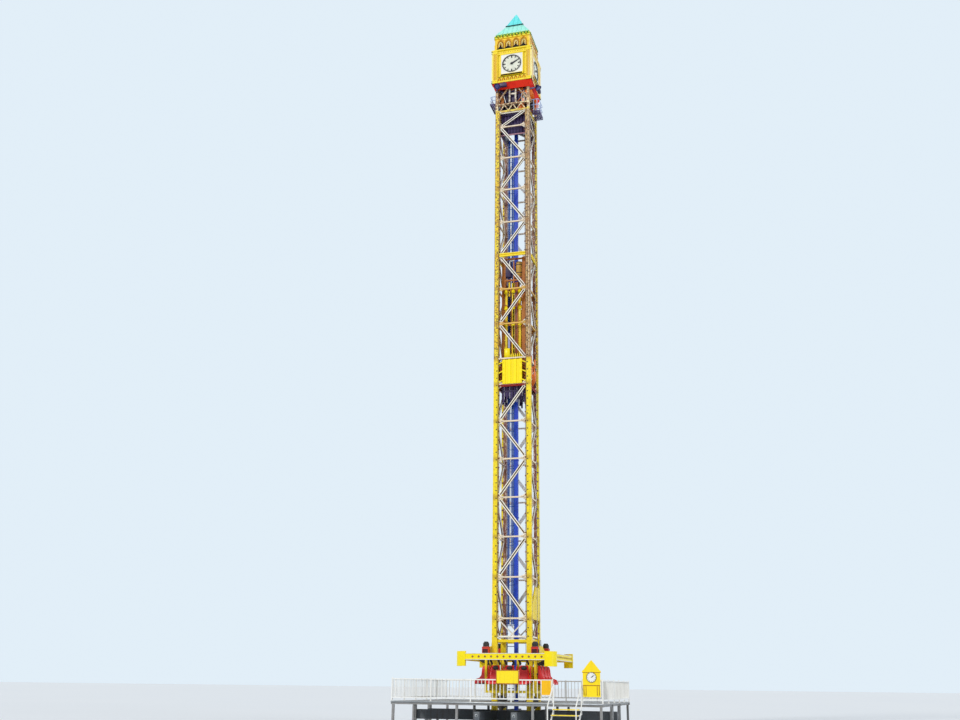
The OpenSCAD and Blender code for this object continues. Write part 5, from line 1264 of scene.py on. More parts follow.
class TOWER_OT_top_lining(DressOperator):
    """Floor and side panels of the top platform, with their ribs and lower bars; the rear side has only a sill"""
    bl_idname = "tower.top_lining"
    bl_label = "Top lining"

    def make(self, sizes):
        low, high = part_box("top_platform")
        floor_low = high.z - 0.094
        wide, notch = high.x, COLUMN_IN
        plan = np.array([
            [-notch, -wide], [notch, -wide], [notch, -notch], [wide, -notch], [wide, notch], [notch, notch],
            [notch, wide], [-notch, wide], [-notch, notch], [-wide, notch], [-wide, -notch],
            [-notch, -notch]])
        floor = extrude(plan, floor_low, high.z, axis="z")
        inside, thick = 0.62, 0.02
        long = blocks([[-inside, low.z, -thick]], [[inside, floor_low + 0.002, 0]])
        short = blocks([[thick - inside, low.z, -thick]], [[inside - thick, floor_low + 0.002, 0]])
        sill = blocks([[-inside, floor_low - 0.28, -thick]], [[inside, floor_low + 0.002, 0]])
        panels = [on_sides(on_wall(long, inside), (0,)), on_sides(on_wall(short, inside), (90, 270)),
                  on_sides(on_wall(sill, inside), (180,))]
        lining = piece("top_lining", merge([floor] + panels), "dark_steel", "violet")
        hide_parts("top_platform")
        at = np.linspace(-0.54, 0.54, 8)
        ribs = blocks(rows(at - 0.014, low.z + 0.05, -0.001), rows(at + 0.014, floor_low, 0.014))
        wall_piece("lining_ribs", ribs, inside, "dark_steel", "rail_dark", sides=(0, 90, 270), bevel=0.004,
                   bevel_steps=1)
        bar = blocks([[-inside, low.z, -0.030]], [[inside, low.z + 0.055, 0.022]])
        wall_piece("lining_bars", bar, inside, "frame_ochre", "mauve", sides=(0, 90, 270), bevel=0.004)


class TOWER_OT_floodlight_glass(DressOperator):
    """Rims, lenses and cooling rings of the round lamps under the house"""
    bl_idname = "tower.floodlight_glass"
    bl_label = "Floodlight glass"

    def make(self, sizes):
        tilt = np.radians(-30)
        about_x = np.array([[1, 0, 0], [0, np.cos(tilt), -np.sin(tilt)], [0, np.sin(tilt), np.cos(tilt)]])
        lamps = [(0, -0.70, 0.25), (1, -0.45, 0.35), (2, -0.70, 0.25), (3, -0.70, 0.25)]
        to_side = [turn_z(90 * side) for side, u, reach in lamps]
        centres = np.array([
            turn @ np.array([u, -MAST - reach, HOUSE_LOW - 0.22]) for turn,
            (side, u, reach) in zip(to_side, lamps)])
        turns = np.array([turn @ about_x for turn in to_side])
        rim = lathe([(0.126, -0.040), (0.130, -0.036), (0.130, -0.008), (0.124, -0.004)], 36)
        glass = lathe([(0.02, -0.052), (0.08, -0.047), (0.108, -0.038), (0.112, -0.028)], 36)
        rings = merge([lathe([(r, z), (r + 0.012, z + 0.004), (r + 0.010, z + 0.012), (r - 0.004, z + 0.016)],
                             36) for r, z in ((0.108, 0.03), (0.098, 0.06), (0.088, 0.09))])
        hood = lathe([(0.122, -0.022), (0.158, -0.056), (0.166, -0.048), (0.134, -0.002), (0.122, 0.002)], 36)
        ballast = merge([
            extrude(rounded_outline(0.17, 0.085, 0.02), -0.07, 0.07, axis="z"),
            blocks([[-0.03, 0.06, -0.05]], [[0.03, 0.20, -0.03]])])
        ballasts = placed(
            (ballast[0][:, [0, 2, 1]] * np.array([1, -1, 1.0]), ballast[1]),
            centres + np.array([turn @ np.array([0.30, 0.02, 0.02]) for turn in to_side]), to_side)
        piece("lamp_ballasts", ballasts, "dark_steel", "violet", bevel=0.005)
        for name, shape, slot_name, finish in (
                ("floodlight_rims", merge([rim, rings, hood]), "lamp_blue", "lamp_blue"),
                ("floodlight_lenses", glass, "dial_white", "lens")):
            piece(name, placed(shape, centres, turns), slot_name, finish, smooth=True)


class TOWER_OT_balconies(DressOperator):
    """Service balconies: an edge frame with thin flat bars, kick boards, and rails bent from round tube"""
    bl_idname = "tower.balconies"
    bl_label = "Balconies"

    def make(self, sizes):
        low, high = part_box("service_balconies")
        inner = MAST - 0.005
        outer = high.x
        half, floor_t, tube = 0.45, 0.05, 0.018
        notch = 0.13
        floors, rails = [], []
        for turn, z, rail in ((90, low.z, 0.70), (270, high.z - 0.48, 0.48)):
            frame_bars = blocks(
                [[-half, z, inner], [half - 0.008, z, inner], [-half, z, outer - 0.008],
                 [-notch - 0.006, z, inner], [notch, z, inner], [-notch, z, inner + 0.20]],
                [[-half + 0.008, z + floor_t, outer], [half, z + floor_t, outer], [half, z + floor_t, outer],
                 [-notch, z + floor_t, inner + 0.206], [notch + 0.006, z + floor_t, inner + 0.206],
                 [notch, z + floor_t, inner + 0.206]])
            at = np.arange(-half + 0.055, half - 0.03, 0.055)
            start = np.where(np.abs(at) < notch, inner + 0.20, inner)
            flats = blocks(
                rows(at - 0.0025, z + 0.022, start), rows(at + 0.0025, z + floor_t - 0.001, outer - 0.004))
            ties = blocks(
                [[-half, z + 0.028, out] for out in (outer - 0.12, outer - 0.21)],
                [[half, z + 0.036, out + 0.008] for out in (outer - 0.12, outer - 0.21)])
            board = blocks([[-half, z + floor_t, outer - 0.005]], [[half, z + floor_t + 0.09, outer]])
            floors.append(on_sides(on_wall(merge([frame_bars, flats, ties, board]), 0.0), (turn,)))
            angle = np.linspace(0, pi / 2, 6)
            corner = 0.09
            bend = rows(half - tube - corner + corner * np.cos(angle),
                        outer - tube - corner + corner * np.sin(angle))
            run = with_mirror_path(np.concatenate([[[half - tube, inner + 0.004]], bend]))
            tubes = []
            for height in (rail - tube, rail * 0.55):
                path = rows(run[:, 0], z + height, run[:, 1])
                tubes.append(sweep(path, tube, 10, up=(0, 1, 0)))
            feet = [[x, z + 0.005, out]
            for x in (-half + tube, half - tube) for out in (outer - 0.11, inner + 0.12)]
            feet += [[0.0, z + 0.005, outer - tube]]
            for foot in feet:
                path = np.array(foot) + np.linspace(0, rail - tube, 3)[:, None] * np.array([0, 1.0, 0])
                tubes.append(sweep(path, tube * 0.9, 10))
            rails.append(on_sides(on_wall(merge(tubes), 0.0), (turn,)))
        made = piece("balcony_floors", merge(floors), "galvanised", "rail_dark")
        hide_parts("service_balconies")
        piece("balcony_rails", merge(rails), "galvanised", "rail", smooth=True)


class TOWER_OT_dial_marks(DressOperator):
    """Raised hour marks, minute studs and a thin bezel on the dials"""
    bl_idname = "tower.dial_marks"
    bl_label = "Dial marks"

    def make(self, sizes):
        r = sizes.dial_radius
        hour = pi / 6 * np.arange(12)
        mark = blocks([[-0.017, r - 0.150, 0]], [[0.017, r - 0.045, 0.010]])
        quarter = blocks([[-0.027, r - 0.170, 0.0]], [[0.027, r - 0.045, 0.011]])
        turns = np.array([turn_by(angle) for angle in hour])
        plain = [i for i in range(12) if i % 3]
        main = [0, 3, 6, 9]
        marks = merge([placed(mark, np.zeros((8, 3)), turns[plain]),
                       placed(quarter, np.zeros((4, 3)), turns[main])])
        minute = 2 * pi * np.arange(60) / 60
        studs = placed(lathe([(0.0075, -0.001), (0.0075, 0.005), (0.005, 0.007)], 6),
                       rows((r - 0.073) * np.sin(minute), (r - 0.073) * np.cos(minute), 0))
        bezel = sweep(ring(r - 0.010, 96, 0.020), 0.012, 8, closed=True)
        face = WALL_HALF + 0.04
        wall_piece("hour_marks", merge([marks, studs]), face, "dark_steel", "black", up=DIAL_Z)
        wall_piece("dial_bezels", bezel, face, "dark_steel", "black", up=DIAL_Z, smooth=True)
        half = (DIAL_HIGH.z - DIAL_LOW.z) / 2
        frame_path = np.array([[-half, -half], [half, -half], [half, half], [-half, half]])
        bars_low = bars(raised(frame_path), raised(np.roll(frame_path, -1, 0)), (0, 0, 1), 0.05, -0.01, 0.014)
        wall_piece("dial_frames", bars_low, face, "house_gold", "house", up=DIAL_Z, bevel=0.004)
        centre = lathe([(0.036, 0.0), (0.036, 0.012), (0.020, 0.020)], 24)
        wall_piece("hand_caps", centre, face + 0.041, "dark_steel", "black", up=DIAL_Z, smooth=True)


class TOWER_OT_house_ornament(DressOperator):
    """Shells in the arcade, dark strips under the dials as painted shadow of the ledge, bands round the pilasters
    """
    bl_idname = "tower.house_ornament"
    bl_label = "House ornament"

    def make(self, sizes):
        pitch = 1.44 / 7
        u = (np.arange(7) - 3) * pitch
        arch = pointed_arch(0.118, 0.152)[::-1]
        shells = placed(extrude(arch, -0.002, 0.006, axis="z"), rows(u, 0, 0))
        wall_piece("arcade_panels", shells, WALL_HALF + 0.025, "drive_orange", "orange", up=ARCADE_MID)
        path = pointed_arch(0.150, 0.178)
        rib = sweep(raised(path), 0.011, 6)
        boss = lathe([(0.030, -0.002), (0.028, 0.010), (0.014, 0.020)], 12, centre=(0, 0.055, 0.005))
        ribs = placed(rib, rows(u, -0.006, 0.041))
        wall_piece("arcade_ribs", ribs, WALL_HALF, "frame_ochre", "brown", up=ARCADE_MID, smooth=True)
        bosses = placed(boss, rows(u, 0, 0))
        wall_piece("arcade_bosses", bosses, WALL_HALF + 0.025, "house_gold", "house", up=ARCADE_MID,
                   smooth=True)
        # Dark strips along the front of the ledge and just under it, as painted shadow of the ledge, and a thin
        # one at the foot of the house
        ledge = WALL_HALF + 0.11
        width = 0.54
        trim = blocks([[-width, DIAL_LOW.z - 0.093, -0.002]], [[width, DIAL_LOW.z - 0.028, 0.010]])
        under = blocks([[-0.715, HOUSE_LOW + 0.322, -0.066]], [[0.715, HOUSE_LOW + 0.335, -0.052]])
        wall_piece("ledge_shadow_strips", merge([trim, under]), ledge, "dark_steel", "jet")
        dark_foot = blocks([[-0.719, HOUSE_LOW + 0.001, 0]], [[0.719, HOUSE_LOW + 0.030, 0.006]])
        wall_piece("house_foot_trims", dark_foot, WALL_HALF + 0.04, "frame_ochre", "brown")
        # Bands at the foot and head of every pilaster, and beads between the flutes
        half = HOUSE_HALF
        bands = []
        for low, high, proud in (
                (0.10, 0.135, 0.012), (0.0, 0.05, 0.010), (1.69, 1.72, 0.012), (1.79, 1.84, 0.014)):
            bands.append(blocks(
                [[half - 0.31, HOUSE_LOW + low, -0.05]], [[half + proud, HOUSE_LOW + high, proud]]))
        wall_piece("pilaster_bands", mirrored(merge(bands)), half, "house_gold", "house", bevel=0.004,
                   bevel_steps=1)
        # Row of small studs on the band over the dials
        stud = lathe([(0.020, -0.001), (0.018, 0.006), (0.008, 0.014)], 8)
        studs = placed(stud, rows(np.linspace(-0.66, 0.66, 12), 0, 0))
        wall_piece("band_studs", studs, WALL_HALF + 0.03, "frame_ochre", "brown", up=HOUSE_TOP - 0.17,
                   smooth=True)


class TOWER_OT_belfry_ornament(DressOperator):
    """Ogive mouldings, orange louvre panels, dark crests and a row of lozenges on the belfry"""
    bl_idname = "tower.belfry_ornament"
    bl_label = "Belfry ornament"

    def make(self, sizes):
        half = BELFRY_HIGH.x
        base = BELFRY_LOW.z + 0.11
        pitch = (2 * half - 0.26) / 4
        width, height = pitch * 0.66, 0.47
        u = (np.arange(4) - 1.5) * pitch
        spots = rows(u, 0, 0)
        path = pointed_arch(width + 0.035, height + 0.03, 9)
        outer = sweep(raised(path), 0.015, 8)
        path = pointed_arch(width - 0.10, height - 0.10, 9)
        inner = sweep(raised(path, -0.014), 0.015, 8)
        path = pointed_arch(width + 0.11, height + 0.095, 9)[1:-1]
        hood = sweep(raised(path), 0.010, 8)
        out = half + 0.010
        wall_piece("belfry_mouldings", placed(outer, spots), out, "frame_ochre", "brown", up=base,
                   smooth=True)
        wall_piece("belfry_ogives", placed(inner, spots), out, "house_gold", "pale_gold", up=base,
                   smooth=True)
        wall_piece("belfry_hoods", placed(hood, spots), half + 0.004, "drive_orange", "orange", up=base,
                   smooth=True)
        # Louvre panels in the openings
        slat_z = np.arange(0.0, 0.52, 0.086)
        start = rows(-0.77, slat_z, 0)
        end = start * np.array([-1, 1, 1])
        slats = bars(start, end, (0, 0.6, 0.8), 0.085, -0.006, 0.003)
        back = blocks([[-0.78, -0.03, -0.035]], [[0.78, 0.54, -0.012]])
        wall_piece("belfry_louvres", merge([slats, back]), half - 0.035, "drive_orange", "louvre", up=base)
        # Crests at the foot of each opening: low curved shoulders that rise to a point
        t = np.linspace(-1, 1, 25)
        edge = 0.050 + 0.165 * (1 - np.abs(t)) ** 2.0
        outline = np.concatenate([[[-0.190, 0.0], [0.190, 0.0]], rows(0.190 * t, edge)[::-1]])
        crest = extrude(outline, -0.014, 0.014, axis="z")
        knob = lathe([(0.010, 0.0), (0.022, 0.018), (0.022, 0.034), (0.008, 0.056)], 10)
        knob = (knob[0][:, [0, 2, 1]] * np.array([1, 1, -1.0]) + np.array([0, 0.205, 0]), knob[1])
        wall_piece("belfry_crests", placed(merge([crest, knob]), spots), half + 0.036, "dark_steel", "jet",
                   up=base - 0.055)
        # Dark green leaves in a row under the eaves
        leaf = extrude(np.array([[0, -0.050], [0.034, -0.018], [0.042, 0.030], [0.020, 0.050],
                                 [-0.020, 0.050], [-0.042, 0.030], [-0.034, -0.018]]), -0.002, 0.020,
                       axis="z")
        at = np.linspace(-0.80, 0.80, 11)
        leaves = placed(leaf, rows(at, BELFRY_HIGH.z - 0.056, 0))
        wall_piece("eaves_leaves", leaves, half + 0.006, "roof_turquoise", "leaf", bevel=0.006, bevel_steps=1)
        sill = blocks([[-0.80, -0.075, -0.03]], [[0.80, -0.050, 0.05]])
        wall_piece("belfry_sills", sill, half, "house_gold", "house", up=base, bevel=0.004)
        # Lozenges and a bead over the arches
        lozenge = extrude(
            np.array([[0.045, 0], [0, 0.032], [-0.045, 0], [0, -0.032]]), -0.002, 0.014, axis="z")
        at = np.linspace(-0.72, 0.72, 7)
        row = placed(lozenge, rows(at, 0, 0))
        wall_piece("belfry_lozenges", row, half, "frame_ochre", "brown", up=base + 0.675)
        bead = blocks([[-half, 0.735, -0.02], [-half, 0.590, -0.02]],
                      [[half, 0.755, 0.016], [half, 0.605, 0.012]])
        wall_piece("belfry_beads", bead, half, "house_gold", "house", up=base)
        # Slim shafts between the openings
        u = (np.arange(5) - 2) * pitch
        shaft = lathe([(0.030, 0.0), (0.030, 0.03), (0.020, 0.05), (0.020, 0.30), (0.032, 0.33),
                       (0.032, 0.37)], 12)
        shaft = (shaft[0][:, [0, 2, 1]] * np.array([1, 1, -1.0]), shaft[1])
        shafts = placed(shaft, rows(u, 0, 0))
        wall_piece("belfry_shafts", shafts, half + 0.008, "house_gold", "house", up=base - 0.05, smooth=True)


class TOWER_OT_roof_seams(DressOperator):
    """Standing seams, hip covers and the dark line at the break of the roof"""
    bl_idname = "tower.roof_seams"
    bl_label = "Roof seams"

    def make(self, sizes):
        low = EAVES_LOW.z + 0.04
        half_low = EAVES_HIGH.x * 0.97
        break_z = ROOF_BREAK
        half_break = EAVES_HIGH.x * 0.48
        top_z = EAVES_HIGH.z
        seams = []
        for z0, h0, z1, h1 in (
                (low, half_low, break_z, half_break), (break_z + 0.05, half_break, top_z, 0.018)):
            u = np.arange(-h0 + 0.5 * sizes.seam_pitch, h0, sizes.seam_pitch)
            reach = np.minimum(1.0, (h0 - np.abs(u)) / (h0 - h1)) * 0.985
            start = rows(u, z0, h0 - 0.004)
            end = rows(u, z0 + (z1 - z0) * reach, h0 - 0.004 + (h1 - h0) * reach)
            seams.append(bars(start, end, (0, 0.5, 0.8), 0.014, 0.0, 0.020))
        wall_piece("roof_seams", merge(seams), 0.0, "roof_turquoise", "roof")
        hips = []
        for z0, h0, z1, h1 in (
                (low + 0.01, half_low - 0.014, break_z, half_break - 0.006),
                (break_z + 0.05, half_break - 0.008, top_z - 0.02, 0.012)):
            path = rows(np.array([h0, h1]), -np.array([h0, h1]), np.array([z0, z1]))
            hips.append(sweep(path, np.array([0.020, 0.018]), 8, up=(1, 1, 0)))
        piece("roof_hips", on_sides(merge(hips)), "roof_turquoise", "roof", smooth=True)
        # Dark strip at the break: painted shadow under the edge of the roof's upper part
        line = blocks([[-half_break - 0.036, -0.012, -0.01]], [[half_break + 0.036, 0.040, 0.014]])
        wall_piece("roof_break_shadow_strip", line, half_break + 0.026, "roof_turquoise", "roof_break_shadow",
                   up=break_z + 0.004)


def seat_shell():
    """A bucket seat as (right, up, out). Along s the profile runs from the front lip over the pan and up the
    back; across t from -1 to 1 the sides rise off it by a power of t, most beside the hips and the shoulders,
    and the back narrows to the head. The shell is 28 mm thick."""
    s = np.linspace(0, 1, 33)[:, None]
    t = np.linspace(-1, 1, 25)[None]
    knots = np.array([0, 0.06, 0.20, 0.34, 0.46, 0.56, 0.70, 0.85, 1.0])
    out = np.array([0.505, 0.515, 0.40, 0.24, 0.135, 0.105, 0.080, 0.060, 0.045])
    up = np.array([-0.01, 0.055, 0.080, 0.062, 0.075, 0.20, 0.38, 0.57, 0.725])
    wings = np.array([0.0, 0.015, 0.10, 0.14, 0.16, 0.13, 0.10, 0.13, 0.05])
    widths = np.array([0.50, 0.52, 0.55, 0.55, 0.54, 0.52, 0.50, 0.47, 0.34])
    along = [np.interp(s[:, 0], knots, values) for values in (out, up, wings, widths)]
    kernel = np.array([1, 2, 3, 2, 1]) / 9

    def soft(values):
        padded = np.concatenate([
            [2 * values[0] - values[2], 2 * values[0] - values[1]], values,
            [2 * values[-1] - values[-2], 2 * values[-1] - values[-3]]])
        return np.convolve(padded, kernel, "valid")

    out_s, up_s, wing_s, width_s = [soft(values)[:, None] for values in along]
    tangent = np.gradient(np.concatenate([out_s, up_s], 1), axis=0)
    tangent /= np.linalg.norm(tangent, axis=1)[:, None]
    normal_out, normal_up = tangent[:, 1:2], -tangent[:, :1]
    raise_by = wing_s * np.abs(t) ** 3.2
    x = width_s / 2 * t * (1 - 0.06 * np.abs(t) ** 4)

    def layer(depth_in):
        return np.stack([x * np.ones_like(raise_by), up_s + normal_up * (raise_by - depth_in),
                         out_s + normal_out * (raise_by - depth_in)], -1)

    return layer(0.0), layer(0.028)


class TOWER_OT_seats(DressOperator):
    """Moulded seat shells with pads, headrests, side dividers and the beam that carries them"""
    bl_idname = "tower.seats"
    bl_label = "Seats"

    def make(self, sizes):
        low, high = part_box("seats_front")
        seat_z = low.z + 0.02
        pitch = (high.x - low.x) / sizes.seats_a_side
        u = (np.arange(sizes.seats_a_side) - (sizes.seats_a_side - 1) / 2) * pitch
        spots = rows(u, 0, 0)
        top, bottom = seat_shell()
        # The profile runs inwards and up, so its columns cross its rows away from the rider
        shell = sheet_solid(top, bottom)
        pad_top = top[3:30, 4:21]
        count_s, count_t = pad_top.shape[:2]
        s = np.linspace(-1, 1, count_s)[:, None]
        t = np.linspace(-1, 1, count_t)[None]
        crown = (1 - np.abs(s) ** 6) * (1 - np.abs(t) ** 4)
        channels = 1 - 0.35 * np.exp(-((np.mod(np.linspace(0, 7, count_s)[:, None], 1.0) - 0.5) / 0.09) ** 2)
        du = np.gradient(pad_top, axis=0)
        dv = np.gradient(pad_top, axis=1)
        away = np.cross(dv, du)
        away /= np.linalg.norm(away, axis=2)[..., None]
        pad = sheet_solid(
            pad_top + away * ((sizes.pad_thickness - 0.008) * crown * channels + 0.002)[..., None],
            pad_top - away * 0.012)
        for side, turn in (("front", 0), ("right", 90), ("rear", 180), ("left", 270)):
            shells = on_sides(on_wall(placed(shell, spots), CAR_OUT, seat_z), (turn,))
            shells = piece(f"seat_shells_{side}", shells, "seat_red", "shell", body="car", smooth=True)
            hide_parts(f"seats_{side}")
            pads = on_sides(on_wall(placed(pad, spots), CAR_OUT, seat_z), (turn,))
            pads = piece(f"seat_pads_{side}", pads, "seat_red", "vinyl", body="car", smooth=True)
            smoothing = pads.modifiers.new("round", "SUBSURF")
            smoothing.levels = smoothing.render_levels = 1
        # Dividers between the seats, with a rounded front
        edges = np.array([
            [0.02, 0.0], [0.44, 0.0], [0.47, 0.04], [0.47, 0.15], [0.44, 0.19], [0.28, 0.24], [0.20, 0.34],
            [0.17, 0.58], [0.13, 0.70], [0.02, 0.72]])
        divider = extrude(edges[:, ::-1][::-1], -0.016, 0.016, axis="z")
        divider = (divider[0][:, [2, 0, 1]], divider[1])
        at = (np.arange(sizes.seats_a_side + 1) - sizes.seats_a_side / 2) * (
            pitch - 0.04 / sizes.seats_a_side)
        dividers = placed(divider, rows(at, 0, 0))
        wall_piece("seat_dividers", dividers, CAR_OUT, "seat_red", "shell", up=seat_z, body="car",
                   bevel=0.010)
        # The carrying beam behind and under the shells
        beam = blocks([[-0.90, 0.0, 0.001], [-0.90, 0.36, 0.001], [-0.90, -0.015, 0.03]],
                      [[0.90, 0.06, 0.06], [0.90, 0.43, 0.05], [0.90, 0.025, 0.36]])
        wall_piece("seat_beams", beam, CAR_OUT, "dark_steel", "dark", up=seat_z, body="car", bevel=0.005)
        # Headrests
        head = sheet_pillow(0.125, 0.085, 0.045)
        rests = placed(head, spots + np.array([0, 0.625, 0.085]))
        rests = wall_piece(
            "headrests", rests, CAR_OUT, "restraint_black", "foam", up=seat_z, body="car", smooth=True)


def sheet_pillow(half_x, half_z, depth, count=17):
    """A small crowned pad as (right, up, out): a superellipse in plan, its thickness falls off as
    (1 - r^4) to a seam, and its back is flatter than its front."""
    a = np.linspace(-1, 1, count)[:, None] * np.ones((1, count))
    b = np.linspace(-1, 1, count)[None] * np.ones((count, 1))
    square = np.sqrt(np.maximum(0.0, 1 - 0.5 * np.stack([b * b, a * a], -1)))
    x, z = half_x * a * square[..., 0], half_z * b * square[..., 1]
    r = np.sqrt((a * square[..., 0]) ** 2 + (b * square[..., 1]) ** 2)
    swell = np.sqrt(np.maximum(0.0, 1 - np.clip(r, 0, 1) ** 3))
    front = np.stack([x, z, depth * swell + 0.002], -1)
    back = np.stack([x, z, -0.4 * depth * swell - 0.002], -1)
    return sheet_solid(np.swapaxes(front, 0, 1), np.swapaxes(back, 0, 1))


class TOWER_OT_restraints(DressOperator):
    """Raised shoulder restraints: a bent tube on hinge blocks, with thick foam along its legs"""
    bl_idname = "tower.restraints"
    bl_label = "Shoulder restraints"

    def make(self, sizes):
        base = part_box("restraints")[0].z
        pitch = 0.6
        u = (np.arange(sizes.seats_a_side) - (sizes.seats_a_side - 1) / 2) * pitch
        spots = rows(u, 0, 0)
        hinge_z, reach, lean = 0.06, 0.43, np.radians(62)
        direction = np.array([0, np.cos(lean), np.sin(lean)])
        corner = 0.10
        angle = np.linspace(0, pi / 2, 8)
        half = 0.165
        leg = np.linspace(0.0, reach - corner - 0.03, 12)
        right_leg = rows(half, leg)
        bend = rows(half - corner + corner * np.cos(angle), leg[-1] + corner * np.sin(angle))[1:]
        run = with_mirror_path(np.concatenate([right_leg, bend]))
        path = np.array([0, hinge_z, 0.03]) + run[:, :1] * np.array([1, 0, 0]) + run[:, 1:] * direction
        tube = sweep(path, 0.019, 12, up=np.cross([1.0, 0, 0], direction))
        keep = run[:, 1] > 0.04
        thick = 0.031 + 0.014 * np.sin(np.clip(run[keep][:, 1] / 0.35, 0, 1) * pi) ** 0.7
        thick = thick * np.array([0.75] + [1.0] * (keep.sum() - 2) + [0.75])
        foam = sweep(path[keep], thick, 16, up=np.cross([1.0, 0, 0], direction), squash=0.86)
        hinges = merge([lathe(
            [(0.038, -0.036), (0.042, -0.030), (0.042, 0.030), (0.038, 0.036)], 20, centre=(x, hinge_z, 0.03),
            axis="x") for x in (-half, half)])
        posts = blocks([[x - 0.028, 0.0, 0.002] for x in (-half, half)],
                       [[x + 0.028, hinge_z, 0.058] for x in (-half, half)])
        grips = merge([sweep(
            np.array([0, hinge_z, 0.03]) + np.array([[x, 0, 0]]) + np.linspace(0.20, 0.30, 5)[:, None]
            * direction + np.array([0, 0.052, 0.0]) * np.sin(np.linspace(0, pi, 5))[:, None], 0.010, 8,
            up=(1, 0, 0)) for x in (-half, half)])
        made = wall_piece(
            "restraint_foam", placed(foam, spots), CAR_OUT, "restraint_black", "foam", up=base, body="car",
            smooth=True)
        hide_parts("restraints")
        for name, shape, finish, slot_name in (
                ("restraint_tubes", merge([tube, grips]), "sheave", "rope_steel"),
                ("restraint_hinges", merge([hinges, posts]), "dark", "dark_steel")):
            wall_piece(name, placed(shape, spots), CAR_OUT, slot_name, finish, up=base, body="car",
                       smooth=True)


def ring_path(half, corner, pitch, start=0.0):
    """Points every pitch or so along a square ring with round corners, and their outward directions."""
    straight = 2 * (half - corner)
    arc = pi / 2 * corner
    side = straight + arc
    count = int(round(4 * side / pitch))
    at = (start + np.arange(count) / count * 4 * side) % (4 * side)
    quarter, rest = np.divmod(at, side)
    on_arc = np.clip(rest - straight, 0, None) / corner
    along = np.minimum(rest, straight)
    x = -straight / 2 + along + corner * np.sin(on_arc)
    y = -half + corner - corner * np.cos(on_arc)
    outward = rows(np.sin(on_arc), -np.cos(on_arc))
    turn = quarter * pi / 2
    c, s = np.cos(turn), np.sin(turn)
    points = rows(x * c - y * s, x * s + y * c)
    outward = rows(outward[:, 0] * c - outward[:, 1] * s, outward[:, 0] * s + outward[:, 1] * c)
    return points, outward


class TOWER_OT_canopy_trim(DressOperator):
    """Beads and cap lamps on the ring over the seats, and plates that close it to the car's frame"""
    bl_idname = "tower.canopy_trim"
    bl_label = "Canopy trim"

    def make(self, sizes):
        half = CANOPY_HIGH.x - 0.025
        low, high = CANOPY_LOW.z + 0.24, CANOPY_LOW.z + 0.50
        points, outward = ring_path(half, 0.33, 0.06)
        beads = []
        for z in (low + 0.012, high - 0.012):
            path = raised(points, z)
            beads.append(sweep(path, 0.014, 6, closed=True))
        piece("canopy_beads", merge(beads), "white_paint", "white", body="car", smooth=True)
        spots, outward = ring_path(half, 0.33, 0.26, start=0.13)
        angle = np.degrees(np.arctan2(outward[:, 1], outward[:, 0]))
        turns = np.einsum("nij,jk->nik", np.array([turn_z(a) for a in angle]), ACROSS)
        centres = raised(spots, (low + high) / 2)
        clear = np.abs(np.abs(spots[:, 0]) - np.abs(spots[:, 1])) > 0.50
        base = lathe([(0.040, -0.003), (0.040, 0.006), (0.032, 0.010)], 12)
        dome = lathe([(0.028, 0.008), (0.029, 0.012), (0.022, 0.019), (0.010, 0.023)], 12)
        piece("canopy_lamp_bases", placed(base, centres[clear], turns[clear]), "dark_steel", "dark",
              body="car", smooth=True)
        piece("canopy_lamp_domes", placed(dome, centres[clear], turns[clear]), "drive_orange", "amber",
              body="car", smooth=True)
        # Flat plates that close the ring to the car's frame over the arms
        cleats = blocks([[x - 0.055, CAR_TOP - 0.10, 0.0] for x in (-0.9, 0.9)],
                        [[x + 0.055, CAR_TOP - 0.012, 0.02] for x in (-0.9, 0.9)])
        wall_piece("canopy_cleats", cleats, CAR_OUT - 0.004, "mast_yellow", "yellow", body="car", bevel=0.004)


class TOWER_OT_car_hardware(DressOperator):
    """Grilles and lids on the corner housings, ribs on the buffers, clevises on the ropes"""
    bl_idname = "tower.car_hardware"
    bl_label = "Car hardware"

    def make(self, sizes):
        low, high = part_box("corner_housings")
        c = high.x - 0.14
        z = np.arange(0.05, 0.20, 0.028)
        start = rows(-0.09, z, 0)
        slats = bars(start, start * np.array([-1, 1, 1]), (0, 0.5, 0.85), 0.022, -0.004, 0.006)
        frame_lines = bars(
            [[-0.105, 0.03, 0], [0.105, 0.03, 0], [0.105, 0.21, 0], [-0.105, 0.21, 0]],
            [[0.105, 0.03, 0], [0.105, 0.21, 0], [-0.105, 0.21, 0], [-0.105, 0.03, 0]], (0, 0, 1), 0.014,
            -0.002, 0.008)
        grille = on_wall(merge([slats, frame_lines]), 0.14, low.z)
        corners = np.array([[x, y, 0.0] for x in (-c, c) for y in (-c, c)])
        outer = []
        for x in (-1, 1):
            for y in (-1, 1):
                turns = (0 if y < 0 else 180, 90 if x > 0 else 270)
                outer.append(placed(on_sides(grille, turns), [[x * c, y * c, 0]]))
        piece("housing_grilles", merge(outer), "dark_steel", "dark", body="car")
        lid = blocks([[-0.146, -0.146, high.z - 0.03]], [[0.146, 0.146, high.z + 0.012]])
        piece("housing_lids", placed(lid, corners), "housing_red", "housing", body="car", bevel=0.012)
        rib = merge([lathe([(0.120, z), (0.131, z + 0.008), (0.131, z + 0.022), (0.120, z + 0.030)], 32)
        for z in (0.025, 0.070, 0.115)])
        piece("buffer_ribs", placed(rib, corners + np.array([0, 0, high.z])), "restraint_black", "rubber",
              body="car", smooth=True)
        plate = lathe([(0.150, -0.002), (0.150, 0.010), (0.135, 0.016)], 32)
        piece("buffer_plates", placed(plate, corners + np.array([0, 0, high.z + 0.011])), "rope_steel",
              "sheave", body="car", smooth=True)
        # Rope sockets on the yokes
        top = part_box("car_right")[1].z
        socket = lathe([(0.050, -0.26), (0.054, -0.24), (0.054, -0.12), (0.036, -0.02), (0.034, 0.0)], 24)
        bands = lathe([(0.058, -0.20), (0.060, -0.19), (0.060, -0.17), (0.058, -0.16)], 24)
        spots = [[x * (MAST + 0.185), 0, top] for x in (-1, 1)]
        piece("rope_sockets", placed(merge([socket, bands]), spots), "galvanised", "galvanised", body="car",
              smooth=True)


